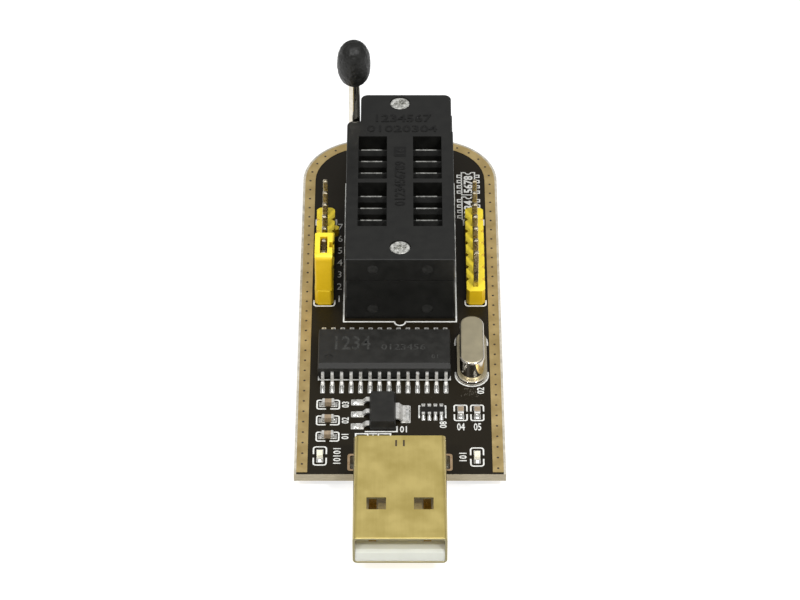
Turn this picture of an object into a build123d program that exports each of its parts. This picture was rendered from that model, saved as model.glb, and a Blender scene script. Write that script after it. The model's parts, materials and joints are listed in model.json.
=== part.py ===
from build123d import *
import math
import os

# A USB chip programmer: a black circuit board with a USB plug on its front end, a zero
# insertion force (ZIF) socket on its rear end, and the small parts between them.
#
# Each sub-part is modelled in board coordinates: X across the board from its centreline,
# Y back from the board's front edge, Z up from the board's top face, all in millimetres.
# save() moves it into the row frame, whose origin is bottom centre of the whole object.

# ---- circuit board ----
BOARD_WIDTH = 27.65
BOARD_LENGTH = 69.2
BOARD_THICKNESS = 1.2
BOARD_REAR_RADIUS = 9.15
STUB_LENGTH = 1.5            # how far soldered pins reach below the board
STUB_Z = -(BOARD_THICKNESS + STUB_LENGTH)
PIN_HOLE_RADIUS = 0.5
PAST = 1                     # how far a cut runs past the surface it opens
SEAT = 0.02                  # solder film under a terminal

# ---- USB plug ----
USB_OVERHANG = 16.1
USB_WIDTH = 12.0
USB_HEIGHT = 4.5
USB_LENGTH = 18.7
USB_WALL = 0.3
USB_CORNER = 0.6
USB_WINDOW = (2.5, 2.15)
USB_WINDOW_X = 3.03
USB_WINDOW_BACK = 6.25       # window centre, behind the plug's mouth
USB_TONGUE_HEIGHT = 1.9
USB_TONGUE_CHAMFER = 0.3
USB_TONGUE_RECESS = 0.05     # tongue's front, behind the mouth
USB_MOUTH_DEPTH = 11.8
USB_CONTACT_X = (-3.5, -1.0, 1.0, 3.5)
USB_CONTACT_FRONT = (1.75, 2.75, 2.75, 1.75)   # start of each contact, behind the mouth
USB_CONTACT_WIDTH = 1.0
USB_CONTACT_THICKNESS = 0.2
USB_FOOT_GAP = 0.05          # contact's bend, behind the carrier
USB_FOOT_LENGTH = 1.65
USB_GROOVE_WIDTH = 1.4
USB_GROOVE_DEPTH = 0.4       # from the tongue's face down to the contacts
USB_RIM_ROUNDING = 0.12
USB_CRIMP_X = 0.5            # pressed grooves either side of the crimp tongue
USB_CRIMP_GROOVE = (0.24, 1.15)
USB_CRIMP_DEPTH = 0.2
USB_CRIMP_FROM_REAR = 0.85
USB_LEG_Y = (1.1, 2.6)
USB_LEG_SLOT = (0.9, 2.4)
USB_LEG_SLOT_SHIFT = (0.05, 0.35)   # slot's centre, from the shell's side and leg's middle
USB_LEG_DEPTH = 0.9          # how far the shell's legs reach below the board

# ---- ZIF socket ----
ZIF_WIDTH = 14.9
ZIF_FRONT_Y = 30.39
ZIF_REAR_Y = 66.3
ZIF_BASE_HEIGHT = 6.9
ZIF_COVER_HEIGHT = 3.7
ZIF_COVER_GAP = 0.06         # running gap under the sliding cover
ZIF_TOP_Z = ZIF_BASE_HEIGHT + ZIF_COVER_GAP + ZIF_COVER_HEIGHT
ZIF_PITCH = 2.54
ZIF_ROW_X = 3.81
ZIF_MIDDLE_Y = 47.1
ZIF_WINDOW_WIDTH = 3.98
ZIF_SLOT_WIDTH = 1.7
ZIF_RIB_RECESS = 0.8
ZIF_RIB_RIDGE = 0.22
ZIF_RIB_SLOPE = 0.7
ZIF_SHOULDER_Y = 60.34
ZIF_HEAD_LEFT_X = -5.55
ZIF_HEAD_RIGHT_X = 7.25
ZIF_STEP_Y = 57.9
ZIF_CORNER = 1.0
ZIF_EDGE = 0.25
ZIF_TOP_ROUNDING = 0.14
ZIF_SCREW_Y = (33.03, 64.43)
ZIF_TRAVEL = 1.2             # cover's slide from open to closed
SCREW_HEAD_RADIUS = 1.42
SCREW_HEAD_HEIGHT = 0.95
SCREW_RADIUS = 0.65
NUT_SIZE = (4.2, 2.0)
NUT_HEIGHT = 1.2
NUT_BOTTOM_Z = 0.3

WELL_SIZE = (3.4, 1.5)       # contact wells in the housing
WELL_FLOOR_Z = 1.0
TAIL_SLOT = (0.7, 0.5)
TAIL_SIZE = (0.5, 0.25)
LEAF_SIZE = (2.7, 0.2)
LEAF_Y = 0.48                # each contact leaf, from the slot's centre
LEAF_Z = (1.55, 6.55)
LEAF_DROP = 0.7              # how much lower the front leaf stands
BRIDGE_HEIGHT = 0.25
NOTCH_Z = 5.0                # floor of the notch behind the lever
CRANK_WELL_Z = 3.4
RUNNING_GAP = 0.1            # sides of the nut and screw slots
EJECTOR_X = 3.7              # round marks on the front of the housing and cover
EJECTOR_Z = (1.75, 8.85)
EJECTOR_RADIUS = 0.8
EJECTOR_DEPTH = 0.08
SCREW_HEAD_RECESS = 0.12     # head's top, below the cover's
SCREW_HEAD_GAP = 0.04
SCREW_HEAD_ROUNDING = 0.25
SCREW_TIP_Z = 0.35
CROSS_RECESS = (1.7, 0.36)
CROSS_DEPTH = 0.45
NUT_CHAMFER = 0.3

# ---- ZIF lever ----
PIVOT_Y = 61.3
PIVOT_Z = 6.0
LEVER_X = -6.45
ROD_RADIUS = 0.8
CRANK_THROW = ZIF_TRAVEL / math.sqrt(2)
CRANK_OFFSET = CRANK_THROW / math.sqrt(2)
CRANK_X = (1.8, 5.2)
AXLE_END_X = 6.2
FORK_X = (2.3, 4.7)
FORK_WALL = 0.9
FORK_CLEARANCE = 0.06
FORK_TIP_GAP = 0.15          # how far the fork reaches past the crank
LEVER_CLEARANCE = 0.15       # round the rod, where it leaves the housing
CRANK_CHEEK = 0.4            # overlap of the crank and the axle along X
CRANK_WELL_GAP = 0.25
KNOB_RADIUS = 2.33
KNOB_HALF_HEIGHT = 3.6
KNOB_MIDDLE_Z = 20.12
KNOB_BLUNTNESS = 2.35        # 2 makes an ellipse, more makes blunter ends
KNOB_NECK_RADIUS = 1.0
ROD_TOP_Z = 21.2

# ---- pin headers and jumper ----
HEADER_X = 10.4
HEADER_PINS = 7
HEADER_PITCH = 2.54
HEADER_FIRST_Y = 34.45
HEADER_WIDTH = 2.54
HEADER_HEIGHT = 2.54
HEADER_CHAMFER = 0.42
PIN_SIZE = 0.64
PIN_TOP_Z = 8.6
PIN_TAPER = 0.15
JUMPER_SIZE = (2.42, 5.06, 6.1)
JUMPER_BOTTOM_Z = HEADER_HEIGHT + 0.08
JUMPER_CLEARANCE = 0.06
JUMPER_CHAMFER = 0.18
JUMPER_NOSE_RADIUS = 0.8
JUMPER_ROOF = 1.0
JUMPER_CAVITY = (1.5, 4.1)
JUMPER_OPENING = (1.0, 3.36)
JUMPER_GRIP = (0.9, 1.1)
JUMPER_GRIP_DEPTH = 1.4
CLIP_MARGIN = (0.3, 1.6)     # clip's ends, inside the cap's bottom and top

# ---- controller, an SO-28 wide package ----
CHIP_CENTRE = (-2.1, 21.95)
CHIP_SIZE = (17.9, 7.5)
CHIP_TOP_Z = 2.4
CHIP_STANDOFF = 0.1
CHIP_LEAD_Z = 1.25
CHIP_LEADS_PER_SIDE = 14
CHIP_LEAD_PITCH = 1.27
CHIP_LEAD_WIDTH = 0.42
CHIP_LEAD_THICKNESS = 0.25
CHIP_SPAN = 10.4
CHIP_DRAFT = 0.16
CHIP_BEVEL = 0.55            # along the front of the top face
CHIP_BELT = 0.15             # half height of the upright belt at the leads
CHIP_SHOULDER = 0.45         # flat start of each lead
CHIP_FOOT = 0.62             # flat end of each lead
CHIP_DIMPLE = (1.5, 1.75)    # centre, from the package's front left corner
CHIP_DIMPLE_RADIUS = 0.55
CHIP_DIMPLE_DEPTH = 0.08

# ---- voltage regulator, a SOT-223 package ----
REGULATOR_CENTRE = (-2.3, 11.3)
REGULATOR_SIZE = (3.5, 6.3)
REGULATOR_TOP_Z = 1.55
REGULATOR_LEAD_PITCH = 2.3
REGULATOR_LEAD_WIDTH = 0.72
REGULATOR_TAB_WIDTH = 3.0
REGULATOR_REACH = 3.5        # lead tip and tab tip, from the package's centre
REGULATOR_STANDOFF = 0.08
REGULATOR_BELT_Z = 0.62
REGULATOR_DRAFT = (0.1, 0.25)       # inset of the bottom and top faces
REGULATOR_LEAD_THICKNESS = 0.27
REGULATOR_LEAD_Z = 0.75
REGULATOR_SHOULDER = 0.45
REGULATOR_ANKLE = 0.95

# ---- crystal, an HC-49S can ----
CRYSTAL_CENTRE = (9.65, 22.2)
CRYSTAL_FLANGE = (4.15, 10.65)
CRYSTAL_CAN = (3.3, 9.65)
CRYSTAL_FLANGE_HEIGHT = 0.5
CRYSTAL_HEIGHT = 3.6
CRYSTAL_LEAD_SPACING = 4.88
CRYSTAL_LEAD_RADIUS = 0.22
CRYSTAL_HOLE_RADIUS = 0.4
CRYSTAL_PAD_THICKNESS = 0.15
CRYSTAL_PAD_INSET = 0.3
CRYSTAL_FLANGE_ROUNDING = 0.18
CRYSTAL_TOP_ROUNDING = 0.32

# ---- small surface-mount parts: name, centre, turn about Z in degrees ----
CHIP_PART = (1.6, 0.8)       # an 0603 body
CAPACITOR_HEIGHT = 0.8
CAPACITOR_CAP = 0.35         # length of each metal end
CAPACITOR_INSET = 0.03       # ceramic, inside the metal ends
CAPACITOR_ROUNDING = 0.1
CAPACITORS = (
    ("capacitor_1", (-9.55, 7.05), 0),
    ("capacitor_2", (-9.55, 10.15), 0),
    ("capacitor_3", (-9.55, 13.2), 0),
    ("capacitor_4", (8.05, 11.6), 90),
    ("capacitor_5", (10.25, 11.6), 90),
)
LEDS = (
    ("led_power", (-10.5, 3.4), 90),
    ("led_run", (10.1, 3.2), 90),
)
LED_BASE_HEIGHT = 0.3
LED_LENS_HEIGHT = 0.4
LED_PAD = 0.3
LED_LENS_CHAMFER = 0.08
ARRAY_CENTRE = (4.3, 11.75)
ARRAY_SIZE = (3.2, 1.6, 0.55)
ARRAY_PITCH = 0.8
ARRAY_TERMINAL = (0.42, 0.34)
ARRAY_TERMINAL_INSET = 0.1
BODY_STANDOFF = 0.05         # bodies of the small parts, above the board

# ---- solder under the board ----
SOLDER_RADIUS = 0.85
SOLDER_TIP_RADIUS = 0.44
SOLDER_HEIGHT = 0.75
CRYSTAL_SOLDER_RADIUS = 0.75
CRYSTAL_SOLDER_TIP_RADIUS = 0.34
USB_SOLDER_MARGIN = 0.3
USB_SOLDER_HEIGHT = 0.7
USB_SOLDER_TAPER = 24

FRONT_TO_CENTRE = (BOARD_LENGTH + USB_OVERHANG) / 2 - USB_OVERHANG
ROW_OFFSET = (0, -FRONT_TO_CENTRE, -STUB_Z)


def save(name, *solids):
    """Write one sub-part in the row frame."""
    moved = [solid.moved(Location(ROW_OFFSET)) for solid in solids]
    shape = moved[0] if len(moved) == 1 else Compound(moved)
    export_step(shape, f"parts/{name}.step")


def block(x_range, y_range, z_range):
    """A box between two corners."""
    size = [high - low for low, high in (x_range, y_range, z_range)]
    middle = [(low + high) / 2 for low, high in (x_range, y_range, z_range)]
    return Pos(*middle) * Box(*size)


def slab(centre, size, z_range):
    """A box given by its plan centre, plan size and height range."""
    x_range = (centre[0] - size[0] / 2, centre[0] + size[0] / 2)
    y_range = (centre[1] - size[1] / 2, centre[1] + size[1] / 2)
    return block(x_range, y_range, z_range)


def post(centre, radius, z_range):
    """An upright cylinder."""
    height = z_range[1] - z_range[0]
    return Pos(centre[0], centre[1], (z_range[0] + z_range[1]) / 2) * Cylinder(radius, height)


def bar_x(y, z, radius, x_range):
    """A cylinder lying along X."""
    length = x_range[1] - x_range[0]
    return Pos((x_range[0] + x_range[1]) / 2, y, z) * Rot(0, 90, 0) * Cylinder(radius, length)


def extruded_x(points, x_range):
    """A prism along X from an outline of (y, z) points."""
    outline = Polyline(*[(0, y, z) for y, z in points], close=True)
    face = Face(Wire(outline.edges()))
    return Pos(x_range[0], 0, 0) * extrude(face, x_range[1] - x_range[0], dir=(1, 0, 0))


def extruded_y(points, y_range):
    """A prism along Y from an outline of (x, z) points."""
    outline = Polyline(*[(x, 0, z) for x, z in points], close=True)
    face = Face(Wire(outline.edges()))
    return Pos(0, y_range[0], 0) * extrude(face, y_range[1] - y_range[0], dir=(0, 1, 0))


def zif_slot_ys():
    """Centres of the eight slots of one ZIF row, front to rear."""
    return [ZIF_MIDDLE_Y + ZIF_PITCH * (i - 3.5) for i in range(8)]


def header_ys():
    """Centres of one header's pins, front to rear."""
    return [HEADER_FIRST_Y + HEADER_PITCH * i for i in range(HEADER_PINS)]


def zif_pin_places():
    """Plan centres of the ZIF socket's tails."""
    return [(side * ZIF_ROW_X, y) for side in (-1, 1) for y in zif_slot_ys()]


def header_pin_places():
    """Plan centres of both headers' pins."""
    return [(side * HEADER_X, y) for side in (-1, 1) for y in header_ys()]


def crystal_lead_places():
    """Plan centres of the crystal's leads."""
    x, y = CRYSTAL_CENTRE
    return [(x, y + side * CRYSTAL_LEAD_SPACING / 2) for side in (-1, 1)]


def usb_leg_places():
    """Plan centres of the slots for the USB shell's legs."""
    x = USB_WIDTH / 2 + USB_LEG_SLOT_SHIFT[0]
    y = sum(USB_LEG_Y) / 2 + USB_LEG_SLOT_SHIFT[1]
    return [(-x, y), (x, y)]


def make_board():
    """Circuit board with its rear corners rounded and every pin hole drilled."""
    outline = Rectangle(BOARD_WIDTH, BOARD_LENGTH, align=(Align.CENTER, Align.MIN))
    rear_corners = outline.vertices().sort_by(Axis.Y)[-2:]
    board = extrude(fillet(rear_corners, BOARD_REAR_RADIUS), -BOARD_THICKNESS)
    through = (-BOARD_THICKNESS - PAST, PAST)
    for place in zif_pin_places() + header_pin_places():
        board -= post(place, PIN_HOLE_RADIUS, through)
    for place in crystal_lead_places():
        board -= post(place, CRYSTAL_HOLE_RADIUS, through)
    for x, y in usb_leg_places():
        slot = SlotOverall(USB_LEG_SLOT[1], USB_LEG_SLOT[0], rotation=90)
        board -= Pos(x, y, through[0]) * extrude(slot, through[1] - through[0])
    return board


def rounded_bar(width, height, radius, y_range, bottom_z):
    """A bar along Y with rounded long edges, standing on bottom_z."""
    length = y_range[1] - y_range[0]
    place = Pos(0, (y_range[0] + y_range[1]) / 2, bottom_z + height / 2)
    bar = Box(width, length, height)
    return place * fillet(bar.edges().filter_by(Axis.Y), radius)


def make_usb_shell():
    """Folded sheet shell with four windows, a rear crimp and two soldered legs."""
    mouth_y = -USB_OVERHANG
    rear_y = mouth_y + USB_LENGTH
    shell = rounded_bar(USB_WIDTH, USB_HEIGHT, USB_CORNER, (mouth_y, rear_y), 0)
    rim = shell.faces().sort_by(Axis.Y)[0].outer_wire().edges()
    shell = fillet(rim, USB_RIM_ROUNDING)
    shell -= rounded_bar(
        USB_WIDTH - 2 * USB_WALL,
        USB_HEIGHT - 2 * USB_WALL,
        USB_CORNER - USB_WALL,
        (mouth_y - PAST, rear_y + PAST),
        USB_WALL,
    )
    window_y = mouth_y + USB_WINDOW_BACK
    for side in (-1, 1):
        window_z = (-PAST, USB_HEIGHT + PAST)
        shell -= slab((side * USB_WINDOW_X, window_y), USB_WINDOW, window_z)
        groove_y = rear_y - USB_CRIMP_FROM_REAR - USB_CRIMP_GROOVE[1] / 2
        groove_z = (USB_HEIGHT - USB_CRIMP_DEPTH, USB_HEIGHT + PAST)
        shell -= slab((side * USB_CRIMP_X, groove_y), USB_CRIMP_GROOVE, groove_z)
        outer_x = side * USB_WIDTH / 2
        inner_x = side * (USB_WIDTH / 2 - USB_WALL)
        leg_x = (min(outer_x, inner_x), max(outer_x, inner_x))
        shell += block(leg_x, USB_LEG_Y, (-BOARD_THICKNESS - USB_LEG_DEPTH, USB_HEIGHT / 2))
    return shell


def usb_contact(x, front_gap):
    """One flat contact: a blade on the tongue, a bend behind it and a soldered foot."""
    t = USB_CONTACT_THICKNESS
    top = USB_WALL + USB_TONGUE_HEIGHT - USB_GROOVE_DEPTH
    front_y = front_gap - USB_OVERHANG
    bend_y = USB_LENGTH - USB_OVERHANG + USB_FOOT_GAP
    foot_y = bend_y + USB_FOOT_LENGTH
    points = (
        (front_y, top), (bend_y + t, top), (bend_y + t, SEAT + t), (foot_y, SEAT + t),
        (foot_y, SEAT), (bend_y, SEAT), (bend_y, top - t), (front_y, top - t),
    )
    half = USB_CONTACT_WIDTH / 2
    return extruded_x(points, (x - half, x + half))


def make_usb_contacts():
    """The four contacts of the plug; the outer two start nearer the mouth."""
    return [usb_contact(x, gap) for x, gap in zip(USB_CONTACT_X, USB_CONTACT_FRONT)]


def make_usb_insulator(contacts):
    """White carrier: a tongue in the lower half of the mouth and a plug behind it."""
    inner_width = USB_WIDTH - 2 * USB_WALL
    inner_height = USB_HEIGHT - 2 * USB_WALL
    radius = USB_CORNER - USB_WALL
    span = (-USB_OVERHANG + USB_TONGUE_RECESS, USB_LENGTH - USB_OVERHANG)
    body = rounded_bar(inner_width, inner_height, radius, span, USB_WALL)
    mouth_end = -USB_OVERHANG + USB_MOUTH_DEPTH
    top = USB_WALL + USB_TONGUE_HEIGHT
    body -= block((-USB_WIDTH, USB_WIDTH), (span[0] - PAST, mouth_end), (top, USB_HEIGHT))
    lip = body.faces().sort_by(Axis.Y)[0].edges().sort_by(Axis.Z)[-1]
    body = chamfer(lip, USB_TONGUE_CHAMFER)
    groove_bottom = top - USB_GROOVE_DEPTH - USB_CONTACT_THICKNESS
    for x, gap, contact in zip(USB_CONTACT_X, USB_CONTACT_FRONT, contacts):
        groove_x = (x - USB_GROOVE_WIDTH / 2, x + USB_GROOVE_WIDTH / 2)
        body -= block(groove_x, (gap - USB_OVERHANG, mouth_end), (groove_bottom, USB_HEIGHT))
        body -= contact
    return body


def make_zif_base():
    """ZIF housing: sixteen contact wells, an axle groove, a crank well and nut slots."""
    half = ZIF_WIDTH / 2
    base = block((-half, half), (ZIF_FRONT_Y, ZIF_REAR_Y), (0, ZIF_BASE_HEIGHT))
    base = fillet(base.edges().filter_by(Axis.Z), ZIF_EDGE)
    top = ZIF_BASE_HEIGHT + PAST
    for x, y in zif_pin_places():
        base -= slab((x, y), WELL_SIZE, (WELL_FLOOR_Z, top))
        base -= slab((x, y), TAIL_SLOT, (-PAST, WELL_FLOOR_Z + PAST))
    notch_x = (-half - PAST, ZIF_HEAD_LEFT_X)
    notch_y = (PIVOT_Y - ROD_RADIUS - LEVER_CLEARANCE, ZIF_REAR_Y + PAST)
    base -= block(notch_x, notch_y, (NOTCH_Z, top))
    groove = ROD_RADIUS + FORK_CLEARANCE
    groove_x = (ZIF_HEAD_LEFT_X - PAST, AXLE_END_X + RUNNING_GAP)
    base -= bar_x(PIVOT_Y, PIVOT_Z, groove, groove_x)
    base -= block(groove_x, (PIVOT_Y - groove, PIVOT_Y + groove), (PIVOT_Z, top))
    fork = fork_range()
    well_x = (CRANK_X[0] - RUNNING_GAP, CRANK_X[1] + RUNNING_GAP)
    well_y = (fork[0] - ZIF_TRAVEL - CRANK_WELL_GAP, fork[1] + CRANK_WELL_GAP)
    base -= block(well_x, well_y, (CRANK_WELL_Z, top))
    for y in ZIF_SCREW_Y:
        slot_centre = (0, y - ZIF_TRAVEL / 2)
        width = 2 * (SCREW_RADIUS + RUNNING_GAP)
        base -= slab(slot_centre, (width, width + ZIF_TRAVEL), (-PAST, top))
        nut_size = (NUT_SIZE[0] + 2 * RUNNING_GAP, NUT_SIZE[1] + ZIF_TRAVEL + 2 * RUNNING_GAP)
        base -= slab(slot_centre, nut_size, (-PAST, NUT_BOTTOM_Z + NUT_HEIGHT + RUNNING_GAP))
    return base - ejector_marks(EJECTOR_Z[0])


def ejector_marks(z):
    """Cutter for the two shallow round marks that ejector pins leave at one height."""
    mark = Cylinder(EJECTOR_RADIUS, 2 * EJECTOR_DEPTH)
    return [Pos(x, ZIF_FRONT_Y, z) * Rot(90, 0, 0) * mark for x in (-EJECTOR_X, EJECTOR_X)]


def zif_rib(y, x_range):
    """One rib between two pin slots, with a narrow ridge that sits below the top face."""
    ridge_z = ZIF_TOP_Z - ZIF_RIB_RECESS
    shoulder_z = ridge_z - ZIF_RIB_SLOPE
    bottom_z = ZIF_BASE_HEIGHT + ZIF_COVER_GAP
    half = (ZIF_PITCH - ZIF_SLOT_WIDTH) / 2
    points = (
        (y - half, bottom_z),
        (y - half, shoulder_z),
        (y - ZIF_RIB_RIDGE / 2, ridge_z),
        (y + ZIF_RIB_RIDGE / 2, ridge_z),
        (y + half, shoulder_z),
        (y + half, bottom_z),
    )
    return extruded_x(points, x_range)


def fork_range():
    """Outer Y limits of the fork that straddles the crank at rest."""
    middle = PIVOT_Y + CRANK_OFFSET
    reach = ROD_RADIUS + FORK_CLEARANCE + FORK_WALL
    return (middle - reach, middle + reach)


def make_zif_cover():
    """Sliding cover: a stepped plate with two ribbed windows, and a fork under its head."""
    half = ZIF_WIDTH / 2
    bottom_z = ZIF_BASE_HEIGHT + ZIF_COVER_GAP
    outline = Polyline(
        (-half, ZIF_FRONT_Y),
        (half, ZIF_FRONT_Y),
        (half, ZIF_STEP_Y),
        (ZIF_HEAD_RIGHT_X, ZIF_STEP_Y),
        (ZIF_HEAD_RIGHT_X, ZIF_REAR_Y),
        (ZIF_HEAD_LEFT_X, ZIF_REAR_Y),
        (ZIF_HEAD_LEFT_X, ZIF_SHOULDER_Y),
        (-half, ZIF_SHOULDER_Y),
        close=True,
    )
    plan = make_face(outline.edges())
    corners = plan.vertices().filter_by_position(Axis.Y, ZIF_REAR_Y - 0.1, ZIF_REAR_Y + 0.1)
    shoulder = plan.vertices().sort_by_distance((-half, ZIF_SHOULDER_Y, 0))[0]
    plan = fillet([*corners, shoulder], ZIF_CORNER)
    front = plan.vertices().filter_by_position(Axis.Y, ZIF_FRONT_Y - 0.1, ZIF_FRONT_Y + 0.1)
    plan = fillet(front, ZIF_EDGE)
    cover = Pos(0, 0, bottom_z) * extrude(plan, ZIF_COVER_HEIGHT)
    cover = fillet(cover.faces().sort_by(Axis.Z)[-1].edges(), ZIF_TOP_ROUNDING)
    slot_ys = zif_slot_ys()
    reach = ZIF_SLOT_WIDTH / 2
    for side in (-1, 1):
        middle_x = side * ZIF_ROW_X
        x_range = (middle_x - ZIF_WINDOW_WIDTH / 2, middle_x + ZIF_WINDOW_WIDTH / 2)
        for group in (slot_ys[:4], slot_ys[4:]):
            y_range = (group[0] - reach, group[-1] + reach)
            cover -= block(x_range, y_range, (bottom_z - PAST, ZIF_TOP_Z + PAST))
            for first, second in zip(group, group[1:]):
                cover += zif_rib((first + second) / 2, x_range)
    for y in ZIF_SCREW_Y:
        head_z = ZIF_TOP_Z - SCREW_HEAD_RECESS - SCREW_HEAD_HEIGHT
        cover -= post((0, y), SCREW_HEAD_RADIUS + SCREW_HEAD_GAP, (head_z, ZIF_TOP_Z + PAST))
        cover -= post((0, y), SCREW_RADIUS, (bottom_z - PAST, ZIF_TOP_Z))
    fork = fork_range()
    fork_z = (PIVOT_Z - CRANK_THROW - ROD_RADIUS - FORK_TIP_GAP, bottom_z + FORK_WALL / 2)
    cover += block(FORK_X, (fork[0], fork[0] + FORK_WALL), fork_z)
    cover += block(FORK_X, (fork[1] - FORK_WALL, fork[1]), fork_z)
    return cover - ejector_marks(EJECTOR_Z[1])


def zif_contact(x, y):
    """A spring contact: two leaves joined by a bridge, and a tail through the board."""
    low, high = LEAF_Z
    contact = slab((x, y + LEAF_Y), LEAF_SIZE, (low, high))
    contact += slab((x, y - LEAF_Y), LEAF_SIZE, (low, high - LEAF_DROP))
    bridge = (LEAF_SIZE[0], 2 * LEAF_Y + LEAF_SIZE[1])
    contact += slab((x, y), bridge, (low - BRIDGE_HEIGHT, low))
    contact += slab((x, y), TAIL_SIZE, (STUB_Z, low))
    return contact


def make_zif_screw(y):
    """Cross-head machine screw that fixes the cover to its nut."""
    head_top = ZIF_TOP_Z - SCREW_HEAD_RECESS
    head_z = head_top - SCREW_HEAD_HEIGHT
    head = post((0, y), SCREW_HEAD_RADIUS, (head_z, head_top))
    head = fillet(head.edges().sort_by(Axis.Z)[-1], SCREW_HEAD_ROUNDING)
    screw = head + post((0, y), SCREW_RADIUS, (SCREW_TIP_Z, head_z))
    recess_z = (head_top - CROSS_DEPTH, head_top + PAST)
    screw -= slab((0, y), CROSS_RECESS, recess_z)
    screw -= slab((0, y), CROSS_RECESS[::-1], recess_z)
    return screw


def make_zif_nut(y):
    """Flat slide nut that runs in the slot under the housing."""
    nut = slab((0, y), NUT_SIZE, (NUT_BOTTOM_Z, NUT_BOTTOM_Z + NUT_HEIGHT))
    nut = chamfer(nut.edges().filter_by(Axis.Z), NUT_CHAMFER)
    return nut - post((0, y), SCREW_RADIUS, (0, NUT_BOTTOM_Z + NUT_HEIGHT + PAST))


def make_lever():
    """Bent rod: an upright handle, an axle, and a crank that drives the cover's fork."""
    upright = post((LEVER_X, PIVOT_Y), ROD_RADIUS, (PIVOT_Z, ROD_TOP_Z))
    elbow = Pos(LEVER_X, PIVOT_Y, PIVOT_Z) * Sphere(ROD_RADIUS)
    axle = bar_x(PIVOT_Y, PIVOT_Z, ROD_RADIUS, (LEVER_X, CRANK_X[0] + CRANK_CHEEK))
    journal = bar_x(PIVOT_Y, PIVOT_Z, ROD_RADIUS, (CRANK_X[1] - CRANK_CHEEK, AXLE_END_X))
    crank_y = PIVOT_Y + CRANK_OFFSET
    crank = bar_x(crank_y, PIVOT_Z - CRANK_OFFSET, ROD_RADIUS, CRANK_X)
    return upright + elbow + axle + crank + journal


def make_knob():
    """Egg-shaped grip moulded round the rod, cut flat where the rod enters it."""
    power = 2 / KNOB_BLUNTNESS
    neck_angle = math.acos((KNOB_NECK_RADIUS / KNOB_RADIUS) ** (1 / power))
    steps = 16
    outline = []
    for i in range(steps + 1):
        angle = -neck_angle + (math.pi / 2 + neck_angle) * i / steps
        rise = math.copysign(abs(math.sin(angle)) ** power, angle)
        reach = max(math.cos(angle), 0) ** power
        outline.append((KNOB_RADIUS * reach, KNOB_MIDDLE_Z + KNOB_HALF_HEIGHT * rise))
    base_line = Polyline(outline[-1], (0, outline[0][1]), outline[0])
    profile = make_face([*Spline(*outline).edges(), *base_line.edges()])
    knob = Pos(LEVER_X, PIVOT_Y, 0) * revolve(Plane.XZ * profile, Axis.Z)
    return knob - post((LEVER_X, PIVOT_Y), ROD_RADIUS, (0, ROD_TOP_Z))


def make_header_housing(side):
    """Breakaway strip: one eight-sided block for each pin."""
    half = HEADER_PITCH / 2
    width = HEADER_WIDTH / 2
    c = HEADER_CHAMFER
    housing = None
    for y in header_ys():
        corners = (
            (width, -half + c), (width, half - c), (width - c, half), (-width + c, half),
            (-width, half - c), (-width, -half + c), (-width + c, -half), (width - c, -half),
        )
        unit = extrude(make_face(Polyline(*corners, close=True).edges()), HEADER_HEIGHT)
        unit = Pos(side * HEADER_X, y, 0) * unit
        unit -= slab((side * HEADER_X, y), (PIN_SIZE, PIN_SIZE), (-PAST, HEADER_HEIGHT + PAST))
        housing = unit if housing is None else housing + unit
    return housing


def make_header_pins(side):
    """Square pins of one header, with tapered ends."""
    pins = []
    for y in header_ys():
        pin = slab((side * HEADER_X, y), (PIN_SIZE, PIN_SIZE), (STUB_Z, PIN_TOP_Z))
        ends = pin.faces().sort_by(Axis.Z)
        pins.append(chamfer([*ends[0].edges(), *ends[-1].edges()], PIN_TAPER))
    return pins


def jumper_centre():
    """Plan centre of the jumper, over the front two pins of the left header."""
    return (-HEADER_X, HEADER_FIRST_Y + HEADER_PITCH / 2)


def jumper_z():
    """Height range of the jumper cap."""
    return (JUMPER_BOTTOM_Z, JUMPER_BOTTOM_Z + JUMPER_SIZE[2])


def make_jumper_cap():
    """Plastic cap with a test opening in its top and a grip notch in one side."""
    x, y = jumper_centre()
    low, high = jumper_z()
    cap = slab((x, y), JUMPER_SIZE[:2], (low, high))
    cap = chamfer(cap.edges().filter_by(Axis.Z), JUMPER_CHAMFER)
    front_edge = cap.faces().sort_by(Axis.Z)[-1].edges().sort_by(Axis.Y)[0]
    cap = fillet(front_edge, JUMPER_NOSE_RADIUS)
    cap -= slab((x, y), JUMPER_CAVITY, (low - PAST, high - JUMPER_ROOF))
    cap -= slab((x, y), JUMPER_OPENING, (high - JUMPER_ROOF - PAST, high + PAST))
    grip_z = (high - JUMPER_GRIP_DEPTH, high + PAST)
    cap -= slab((x + JUMPER_SIZE[0] / 2, y), JUMPER_GRIP, grip_z)
    return cap


def make_jumper_clip():
    """Folded spring clip that bridges the two pins."""
    x, y = jumper_centre()
    low, high = jumper_z()
    clip = slab((x, y), JUMPER_CAVITY, (low + CLIP_MARGIN[0], high - CLIP_MARGIN[1]))
    opening = PIN_SIZE + 2 * JUMPER_CLEARANCE
    for pin_y in header_ys()[:2]:
        clip -= slab((x, pin_y), (opening, opening), (low - PAST, high + PAST))
    return clip


def chip_lead(x, side):
    """One gull-wing lead of the controller."""
    y = CHIP_CENTRE[1]
    t = CHIP_LEAD_THICKNESS
    high, low = CHIP_LEAD_Z + t / 2, CHIP_LEAD_Z - t / 2
    body = CHIP_SIZE[1] / 2
    knee = body + CHIP_SHOULDER
    tip = CHIP_SPAN / 2
    ankle = tip - CHIP_FOOT
    offsets = (
        (body, high), (knee, high), (ankle + t / 4, t), (tip, t),
        (tip, 0), (ankle - t / 4, 0), (knee - t / 2, low), (body, low),
    )
    half = CHIP_LEAD_WIDTH / 2
    return extruded_x([(y + side * dy, z) for dy, z in offsets], (x - half, x + half))


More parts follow.
